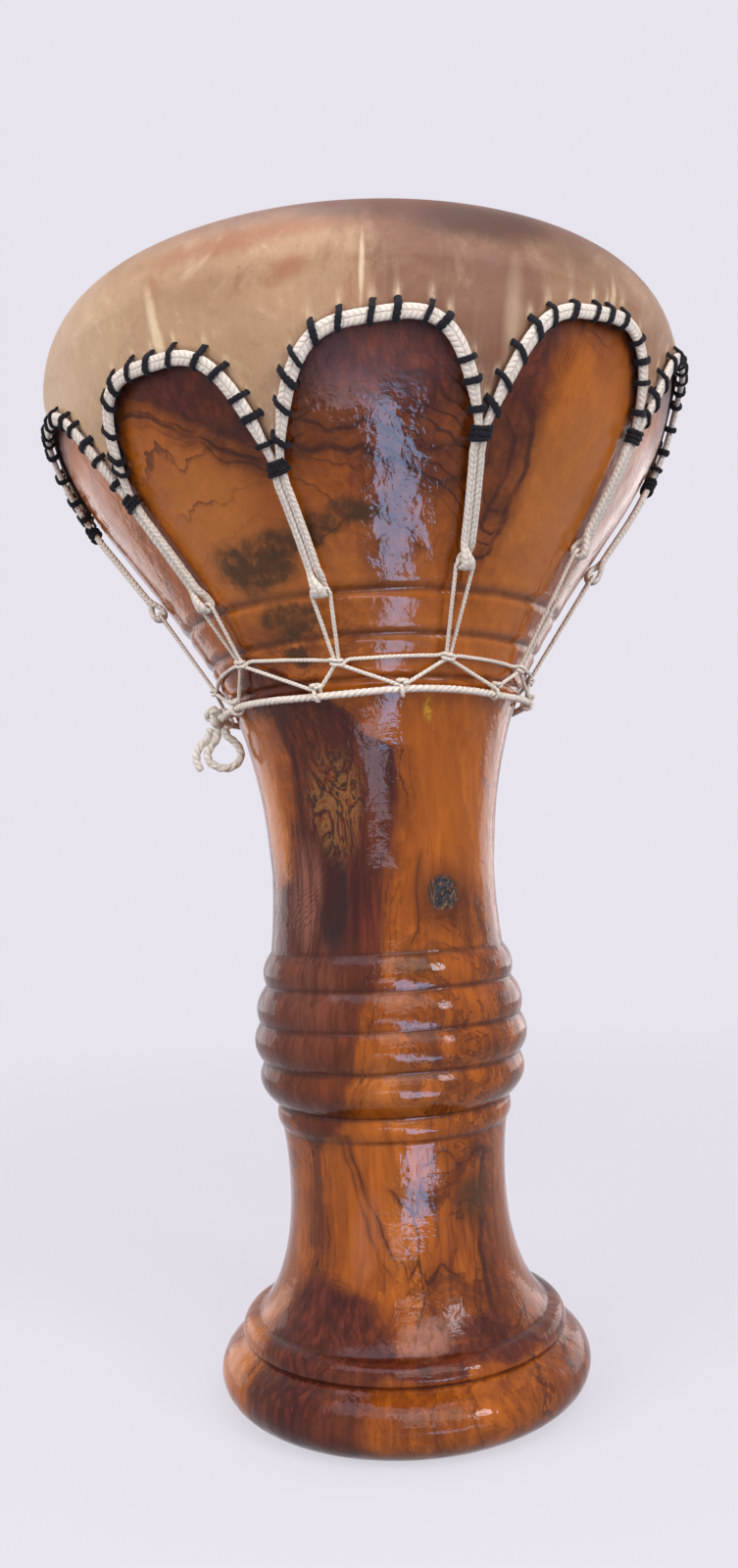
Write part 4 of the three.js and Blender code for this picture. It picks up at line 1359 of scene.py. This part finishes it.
def makeWood(s):
    material, point, sockets = newMaterial("oliveWood", 0.12, Specular_IOR_Level=0.25)
    where = useGroup(roundPlace, Point=point)
    tall = scaled(point, (1.0, 1.0, 0.42))
    drift = noise(tall, 17.0, 5.0, 0.62, 0.4, "Color")
    shift = split(drift, "Color")
    flame = noise(scaled(point, (1.0, 1.0, 0.2)), 95.0, 5.0, 0.65)
    wander = noise(point, 46.0, 5.0, 0.62)
    # edges of stains wander by millimetres
    radius = most(where["Radius"], 20.0)
    across = (centred(flame, 11.0) + centred(shift[0], 9.0)) * degreesPerRadian / radius
    along = centred(wander, 13.0) + centred(shift[1], 9.0)
    angle, height = where["Angle"] + across, where["Height"] + along
    # growth lines flow in smoother waves
    sway = split(noise(point, 42.0, 2.0, 0.55, 0.5, "Color"), "Color")
    flowAngle = where["Angle"] + centred(sway[0], 9.0 * degreesPerRadian) / radius
    flowHeight = where["Height"] + centred(sway[1], 15.0)

    def stained(name):
        return stainSum(angle, height, s[name])

    def drawnLines(change):
        return most(lineSum(flowHeight, flowAngle, change(s["upLines"])),
                    lineSum(flowAngle, flowHeight, change(s["roundLines"])))

    # growth rings round a pith that lies off the axis
    moved = scaled(vectorCalc("ADD", drift, (-0.5, -0.5, -0.5)), (0.036, 0.036, 0.0))
    x, y, z = split(vectorCalc("ADD", point, moved))
    away = distance(x - s["pith"][0], y - s["pith"][1]) + z * 0.09
    rings = away / s["ringWidth"] + flame * 0.4
    saw = calc("FRACT", rings)
    pick = newNode("ShaderNodeTexWhiteNoise", rings)
    pick.noise_dimensions = "1D"
    bold = spread(feedAll(pick, {"W": calc("FLOOR", rings)}, "Value"), 0.35, 0.95)
    patchy = spread(noise(tall, 12.0, 3.0, 0.5), 0.46, 0.62)
    lines = spread(saw, 0.68, 0.98) * spread(saw, 1.0, 0.985) * bold * patchy
    streak = useGroup(fibre, Point=point, Across=330.0, Along=16.0)["Streak"]
    wide = noise(tall, 9.0, 3.0, 0.5)
    tone = wide * 0.75 + streak * 0.35 + saw * -0.12
    colour = mixed(spread(tone, 0.30, 0.68), s["honey"], s["amber"])
    mottle = noise(scaled(point, (1.0, 1.0, 0.6)), 44.0, 5.0, 0.68, 0.7)
    colour = mixed(spread(mottle, 0.50, 0.72) * 0.45, colour, s["brown"])
    figured = calc("SINE", rings * 1.7 + wide * 9.0)
    colour = mixed(spread(figured, 0.1, 1.0) * 0.25, colour, s["brown"])
    # pale wood, with painted light on the bowl's panels
    colour = mixed(stained("paleStainsAndPaintedLight"), colour, s["pale"])
    colour = mixed(stained("redStains"), colour, mixed(spread(streak, 0.3, 0.75), s["red"], s["honey"]))
    # burled wood with dark rims round its light islands
    island = noise(point, 52.0, 5.0, 0.68, 1.0)
    islandRim = spread(abs(island - 0.50), 0.02, 0.004)
    islandTone = most(spread(island, 0.46, 0.62, 0.0, 0.8), islandRim * 0.8)
    colour = mixed(stained("mottledStains") * islandTone, colour, s["umber"])
    colour = mixed(lines * 0.8, colour, s["line"])
    # heartwood, with growth lines along its edges
    inside = least(angle - traced(height, s["heartLeft"]), traced(height, s["heartRight"]) - angle,
                   s["heartTop"] - height)
    over = flowHeight - traced(flowAngle, s["topEdge"])
    core = spread(inside / traced(height, s["heartSoft"]), -2.2, 3.0) * traced(height, s["heartShare"])
    top = spread(over / traced(angle, s["topFade"]), -0.12, 1.0)
    heart = most(core, top, stained("heartStains"))
    heart = heart * spread(noise(tall, 30.0, 4.0, 0.6), 0.34, 0.56, 0.84, 1.0)
    blush = most(spread(inside, -19.0, 1.0), spread(over, -15.0, 2.0, 0.0, 0.8))
    colour = mixed(blush * spread(island, 0.36, 0.60, 0.15, 0.85), colour, s["brown"])
    drawn = most(growthLines(inside, 3.4, 11.0, mottle * 1.5), growthLines(over, 4.6, 7.0, wide * 2.0))
    drawn = drawn * spread(noise(point, 30.0, 3.0, 0.5), 0.40, 0.58, 0.1, 0.85)
    soft = drawnLines(widened) * spread(island, 0.38, 0.58, 0.3, 1.0)
    colour = mixed(soft, colour, s["umber"])
    single = drawnLines(list) * spread(wander, 0.36, 0.50, 0.35, 1.0)
    colour = mixed(single * 0.85, colour, s["line"])
    heartTone = spread(streak + wide * 0.3 + mottle * 0.4, 0.70, 1.20)
    colour = mixed(heart, colour, mixed(heartTone, s["heart"], s["heartLight"]))
    # rose streaks in the wood, and a painted pinkish reflection on the stem and foot
    colour = mixed(stained("roseStainsAndPaintedReflection") * spread(streak, 0.34, 0.58, 0.3, 1.0), colour, s["rose"])
    colour = mixed(drawn, colour, s["line"])
    specks = noise(point, 170.0, 4.0, 0.65)
    smoke = stained("smokeStains") * spread(specks, 0.28, 0.58, 0.35, 0.95)
    colour = mixed(smoke * spread(mottle, 0.32, 0.48, 0.45, 1.0), colour, s["smoke"])
    # one burl with a burnt streak below it, one sound knot and one yellow flaw
    whorl = calc("FRACT", noise(tall, 88.0, 4.0, 0.6, 2.2) * 6.0)
    colour = mixed(stained("burn") * spread(streak, 0.40, 0.60, 0.15, 1.0), colour, s["char"])
    burlColour = ramp(whorl, [(0.0, s["char"]), (0.16, s["smoke"]), (0.45, s["ochre"]), (0.8, s["red"]),
                              (1.0, s["char"])])
    colour = mixed(stained("burl") * 0.85, colour, burlColour)
    plainAngle, plainHeight = where["Angle"] + across * 0.3, where["Height"] + along * 0.2
    colour = mixed(stainSum(plainAngle, plainHeight, s["knotHalo"]), colour, s["umber"])
    knotMask = stainSum(plainAngle, plainHeight, s["knot"])
    knotColour = ramp(whorl, [(0.0, s["char"]), (0.5, s["knotGrey"]), (0.72, s["smoke"]), (0.82, s["ochre"]),
                              (0.9, s["char"])])
    colour = mixed(knotMask, colour, knotColour)
    flawMask = stainSum(angle, plainHeight, s["flaw"]) * spread(specks, 0.42, 0.55)
    colour = mixed(flawMask, colour, s["yellow"])
    # darker lines along the grooves, and open pores
    level = where["Height"] + centred(mottle, 1.6)
    groove = most(*(spread(abs(level - z), half, half * 0.15, 0.0, strength)
                    for z, half, strength in s["grooveLines"]))
    groove = groove * spread(wander, 0.3, 0.6, 0.45, 1.0)
    colour = mixed(groove, colour, s["line"])
    pores = spread(useGroup(fibre, Point=point, Across=1300.0, Along=90.0)["Streak"], 0.64, 0.74)
    colour = mixed(pores * 0.5, colour, s["line"])
    feed(sockets["Base Color"], shaded(colour, 0.4, streak, (0.7, 0.7, 0.7), (1.22, 1.22, 1.22)))
    # duller under the skirt, in the grooves and on the knot
    gloss = spread(useGroup(grime, Point=point, Size=26.0)["Blotch"], 0.0, 1.0, *s["gloss"])
    dusty = spread(where["Height"], 334.0, 350.0)
    feed(sockets["Roughness"], gloss + knotMask * 0.2 + groove * 0.15 + dusty * 0.35)
    # varnish that was brushed on by hand, over the lines of the turning tool
    tool = noise(combined(0.0, 0.0, where["Height"] + shift[2] * 6.0), 0.55, 2.0, 0.6)
    wavy = noise(point, 36.0, 2.0, 0.5)
    lumpy = noise(scaled(point, (1.0, 1.0, 0.6)), 85.0, 3.0, 0.55)
    torn = noise(point, 150.0, 3.0, 0.6, 0.6)
    brush = noise(scaled(point, (1.0, 1.0, 0.5)), 520.0, 2.0, 0.6)
    relief = wavy * 0.9 + lumpy * 0.4 + torn * 0.3 + brush * 0.025 + tool * 0.07 + pores * -0.05
    feed(sockets["Normal"], bumped(relief - knotMask * (whorl * 0.5), 0.6, 0.0016))
    return material


shell.data.materials.append(makeWood(woodSettings))
print("olive wood made")


# Goatskin
skinLook = {
    "tan": (0.47, 0.290, 0.163),
    "brown": (0.215, 0.092, 0.050),
    "band": (0.17, 0.068, 0.037),
    "grey": (0.095, 0.040, 0.022),
    "rust": (0.33, 0.110, 0.042),
    "pale": (0.76, 0.58, 0.38),
    "gloss": (0.42, 0.58),
    "bandAngle": 75.0,  # the rim's dark band is strongest there
    # stains as on the wood
    "brownStains": [(13, 368, 14, 38, 0.0, 0.2, 0.95), (54, 372, 46, 48, 0.0, 0.3, 0.5),
                    (150, 372, 50, 30, 0.0, 0.6, 0.7), (-130, 378, 20, 16, 0.0, 0.7, 0.5)],
    "greyStains": [(20, 390, 12, 8, 0.0, 0.6, 1.0), (34, 386, 9, 8, 0.0, 0.8, 0.5),
                   (2, 392, 10, 6, 0.0, 0.8, 0.6), (-120, 380, 14, 10, 0.0, 0.8, 0.5)],
    "rustStains": [(-10.7, 372.5, 2.2, 2.6, 0.0, 0.7, 0.6), (-33, 377, 2.0, 5, 0.0, 0.8, 0.45),
                   (-1.5, 366, 2, 7, 0.0, 0.8, 0.4), (-17, 386, 16, 3.5, 0.05, 0.8, 0.6)],
    # pale streaks where the skin is stretched; the broad first one, on the left side, is a painted reflection
    "paleStainsAndPaintedLight": [(-66, 362, 24, 34, 0.0, 0.8, 0.4), (-32, 362, 0.9, 12, -0.05, 0.6, 0.9),
                   (0.4, 371, 0.35, 9, 0.03, 0.6, 0.9), (9, 352, 6, 3, 0.0, 0.8, 0.3),
                   (23, 360, 1.2, 12, 0.0, 0.8, 0.35), (42, 372, 0.6, 9, 0.05, 0.6, 0.6),
                   (75, 366, 1.2, 12, 0.0, 0.6, 0.6)],
}


def makeGoatskin(s):
    material, point, sockets = newMaterial("goatskin", 0.5, Specular_IOR_Level=0.3, Subsurface_Weight=0.12,
                                           Subsurface_Radius=(1.0, 0.45, 0.25), Subsurface_Scale=0.0012)
    where = useGroup(roundPlace, Point=point)
    push = centred(noise(point, 34.0, 5.0, 0.65), 15.0)
    angle, height = where["Angle"] + push, where["Height"] + push
    dirt = useGroup(grime, Point=point, Size=24.0)
    colour = mixed(dirt["Blotch"] * 0.38, s["tan"], s["brown"])
    patches = noise(point, 58.0, 6.0, 0.7, 0.6)
    colour = mixed(spread(patches, 0.52, 0.70, 0.0, 0.45), colour, s["brown"])
    colour = mixed(spread(patches, 0.48, 0.32, 0.0, 0.35), colour, s["pale"])
    # the playing face has stains of its own
    rimShare = spread(where["Radius"] + push, 88.0, 112.0)
    cloud = spread(noise(point, 13.0, 5.0, 0.6, 0.8), 0.42, 0.66)
    colour = mixed(cloud * (1.0 - rimShare) * 0.8, colour, s["brown"])
    brown = stainSum(angle, height, s["brownStains"]) * rimShare
    colour = mixed(brown * spread(patches, 0.30, 0.58, 0.72, 1.0), colour, s["brown"])
    # a dark band along the rim, strongest at the right
    band = spread(where["Height"] + push * 0.5, 384.0, 398.0) * rimShare
    darkSide = calc("COSINE", (where["Angle"] - s["bandAngle"]) * radiansPerDegree)
    colour = mixed(band * spread(darkSide, -0.7, 0.34, 0.2, 0.9), colour, s["band"])
    colour = mixed(stainSum(angle, height, s["greyStains"]) * rimShare, colour, s["grey"])
    colour = mixed(stainSum(angle, height, s["rustStains"]), colour, s["rust"])
    # pale where the stitches pull, in the pleats above the edge, and a painted reflection on the skin's left
    # side
    streaks = stainSum(where["Angle"] + push * 0.1, height, s["paleStainsAndPaintedLight"])
    torn = noise(scaled(point, (1.0, 1.0, 0.35)), 700.0, 3.0, 0.6)
    pulled = attribute(point, "stretch") * spread(torn, 0.30, 0.60, 0.35, 1.0)
    colour = mixed(most(streaks, pulled), colour, s["pale"])
    aboveEdge = attribute(point, "aboveEdge")
    pleat = noise(combined(where["Angle"] * 0.5, 0.0, where["Height"] * 0.03), 1.0, 4.0, 0.6)
    pleat = centred(pleat, 2.0) * spread(aboveEdge, 34.0, 4.0)
    colour = mixed(most(pleat * 0.3, 0.0), colour, s["pale"])
    colour = mixed(spread(aboveEdge, 3.4, 1.2) * 0.45, colour, s["grey"])
    # hair roots, specks and grain
    dots = spread(noise(point, 1500.0, 2.0, 0.5), 0.66, 0.74)
    grain = noise(scaled(point, (1.0, 1.0, 0.6)), 260.0, 4.0, 0.65)
    colour = mixed(dots * 0.35, colour, s["brown"])
    colour = mixed(dirt["Speck"] * 0.3, colour, s["band"])
    colour = shaded(colour, 0.7, grain, (0.84, 0.83, 0.82), (1.14, 1.15, 1.16))
    feed(sockets["Base Color"], colour)
    feed(sockets["Roughness"], spread(dirt["Blotch"], 0.0, 1.0, *s["gloss"]))
    relief = grain * 0.5 + streaks * 0.9 + (pulled * 0.7 + pleat * 0.4) - dots * 0.25
    feed(sockets["Normal"], bumped(relief, 0.5, 0.0007))
    return material


skin.data.materials.append(makeGoatskin(skinLook))
print("goatskin made")


# Cotton cords and wool yarn
cottonSettings = {
    "light": (0.88, 0.795, 0.690),
    "shadow": (0.50, 0.41, 0.32),
    "stain": (0.66, 0.56, 0.44),
    "sheen": 0.2,
    "plait": (1.9, 1.7),  # of the flat braid: length and slant
}
tieCottonSettings = dict(cottonSettings, light=(0.82, 0.77, 0.67))
yarnSettings = {"light": (0.012, 0.010, 0.013), "shadow": (0.003, 0.003, 0.004), "sheen": 0.05}
twistLint = {"scale": 1900.0, "shades": (0.78, 1.2), "height": 0.6, "stainShare": 0.4}
braidLint = {"scale": 1700.0, "shades": (0.8, 1.18), "height": 0.5, "stainShare": 0.35}


def cordPoint(point):
    node = newNode("ShaderNodeUVMap", point)
    node.uv_map = "cordMap"
    return nodeValue(node.outputs[0])


def finishCord(sockets, point, colour, height, depth, s, lint):  # dirt, and fluff on the strands
    fluff = noise(point, lint["scale"], 3.0, 0.6)
    if "stain" in s:
        dirt = useGroup(grime, Point=point, Size=60.0)
        colour = mixed(dirt["Blotch"] * lint["stainShare"], colour, s["stain"])
    dark, light = lint["shades"]
    feed(sockets["Base Color"], shaded(colour, 0.6, fluff, (dark,) * 3, (light,) * 3))
    feed(sockets["Normal"], bumped(height + fluff * lint["height"], 0.7, depth))


def makeTwist(name, s, pitch, plies, roughness, depth):
    material, point, sockets = newMaterial(name, roughness, Specular_IOR_Level=0.2, Sheen_Weight=s["sheen"])
    ply = useGroup(plyTwist, Map=cordPoint(point), Pitch=pitch, Plies=plies, Fibres=5.0)
    colour = mixed(ply["Hollow"] * 0.8, s["light"], s["shadow"])
    finishCord(sockets, point, colour, ply["Height"], depth, s, twistLint)
    return material


def makeBraid(s):
    material, point, sockets = newMaterial("braidedCotton", 0.85, Sheen_Weight=0.25, Sheen_Roughness=0.5)
    along, around, _ = split(cordPoint(point))
    beside = abs(calc("FRACT", around * 2.0) - 0.5)
    plait = calc("FRACT", along / s["plait"][0] + beside * s["plait"][1])
    strand = calc("POWER", calc("SINE", plait * math.pi), 0.55)
    height = strand * spread(beside, 0.0, 0.06)
    colour = mixed(0.55, s["light"], mixed(height, s["shadow"], s["light"]))
    finishCord(sockets, point, colour, height, 0.00035, s, braidLint)
    return material


lacingCotton = makeTwist("lacingCotton", cottonSettings, 3.4, 2.0, 0.85, 0.00025)
ringCotton = makeTwist("ringCotton", cottonSettings, 7.5, 3.0, 0.85, 0.0003)
tieCotton = makeTwist("tieCotton", tieCottonSettings, 7.0, 3.0, 0.9, 0.0003)
blackYarn = makeTwist("blackYarn", yarnSettings, 3.2, 2.0, 0.9, 0.0003)
for material, pieces in ((makeBraid(cottonSettings), [edgeCord]), (lacingCotton, [lacing, crossCord]),
                         (ringCotton, [ringCord]), (tieCotton, [tieKnot, tieLoop, tieEnd]),
                         (blackYarn, stitches + bindings)):
    for piece in pieces:
        piece.data.materials.append(material)
print("cotton and yarn made")


# Floor, lamps and surroundings
stageSettings = {
    "floor": (0.24, 0.235, 0.25),
    "surround": (0.80, 0.777, 0.85),
    "surroundLight": 0.66,
    "floorGlow": 0.72,  # share of the surround's tone that the floor shows round the drum
    "floorFade": (0.22, 1.1),  # metres from the drum over which the floor turns into the surround
    "floorSize": 24.0,
    "ovalLamp": "neckGlint",
    # name, place, aim, width, height, watts, colour, and what it is for: light, gloss or both
    "lamps": [
        ("windowLamp", (0.86, -0.86, 0.42), (0, 0, 0.2), 0.26, 0.9, 6.5, (0.95, 0.96, 1.0), "light"),
        ("skyLamp", (0.25, -0.95, 1.1), (0, 0, 0.25), 0.9, 0.9, 7.0, (1.0, 0.98, 0.95), "both"),
        ("fillLamp", (-0.95, -0.75, 0.6), (0, 0, 0.25), 0.9, 0.9, 9.0, (0.98, 0.97, 1.0), "light"),
        ("windowGlint", (0.97, -0.90, 0.80), (0, 0, 0.1), 0.22, 0.5, 6.0, (0.86, 0.90, 1.0), "gloss"),
        ("bowlGlint", (0.085, -0.36, 0.002), (0.085, -0.359, 1), 0.11, 0.4, 1.9, (0.36, 0.60, 1.0), "gloss"),
        ("neckGlint", (-0.05, -1.02, 0.002), (-0.05, -1.019, 1), 0.32, 1.1, 4.2, (0.84, 0.78, 1.0), "gloss"),
        ("roomGlint", (-0.3, -0.5, 1.9), (0, 0, 0.1), 1.6, 1.6, 17.0, (0.66, 0.74, 1.0), "gloss"),
        ("rightGlow", (1.3, 1.2, 0.15), (0, 0, 0.15), 1.1, 1.2, 6.5, (1.0, 0.97, 0.98), "gloss"),
        ("leftGlow", (-1.3, 1.2, 0.15), (0, 0, 0.15), 1.1, 1.2, 4.0, (1.0, 0.95, 0.96), "gloss"),
        ("frontGlint", (0.14, -1.3, 0.55), (0, 0, 0.1), 0.6, 0.1, 1.0, (0.95, 0.95, 1.0), "gloss"),
    ],
}


def raysSeen(tree):
    rays = outputsOf(tree.nodes.new("ShaderNodeLightPath"))
    mirrored = most(rays["Is Glossy Ray"], rays["Is Transmission Ray"])
    return most(rays["Is Camera Ray"], mirrored)


def makeFloor(s):
    half = s["floorSize"] / 2
    mesh = bpy.data.meshes.new("floor")
    corners = [(-half, -half, 0), (half, -half, 0), (half, half, 0), (-half, half, 0)]
    mesh.from_pydata(corners, [], [(0, 1, 2, 3)])
    floor = bpy.data.objects.new("floor", mesh)
    scene.collection.objects.link(floor)
    material, point, sockets = newMaterial("paleFloor", 0.9, Specular_IOR_Level=0.0, Emission_Strength=1.0)
    mesh.materials.append(material)
    x, y, _ = split(point)
    far = spread(distance(x, y), *s["floorFade"])
    seen = raysSeen(material.node_tree)
    glow = seen * spread(far, 0.0, 1.0, s["floorGlow"], 1.0, "LINEAR")
    feed(sockets["Base Color"], mixed(far * seen, s["floor"], (0, 0, 0)))
    feed(sockets["Emission Color"], mixed(glow, (0, 0, 0), s["surround"]))


def makeLamps(s):
    for name, where, aim, width, height, watts, colour, use in s["lamps"]:
        data = bpy.data.lights.new(name, "AREA")
        data.shape = "ELLIPSE" if name == s["ovalLamp"] else "RECTANGLE"
        data.size, data.size_y = width, height
        data.energy = watts
        data.color = colour
        lamp = bpy.data.objects.new(name, data)
        scene.collection.objects.link(lamp)
        lamp.location = where
        lamp.rotation_euler = (Vector(aim) - Vector(where)).to_track_quat("-Z", "Y").to_euler()
        lamp.visible_camera = False
        lamp.visible_diffuse = use != "gloss"
        lamp.visible_glossy = use != "light"


def makeWorld(s):
    world = bpy.data.worlds.new("studio")
    scene.world = world
    world.use_nodes = True
    tree = world.node_tree
    tree.nodes.clear()
    back = tree.nodes.new("ShaderNodeBackground")
    feed(back.inputs["Color"], s["surround"])
    feed(back.inputs["Strength"], spread(raysSeen(tree), 0.0, 1.0, s["surroundLight"], 1.0, "LINEAR"))
    out = tree.nodes.new("ShaderNodeOutputWorld")
    tree.links.new(back.outputs[0], out.inputs["Surface"])


makeFloor(stageSettings)
makeLamps(stageSettings)
makeWorld(stageSettings)
print("stage made")
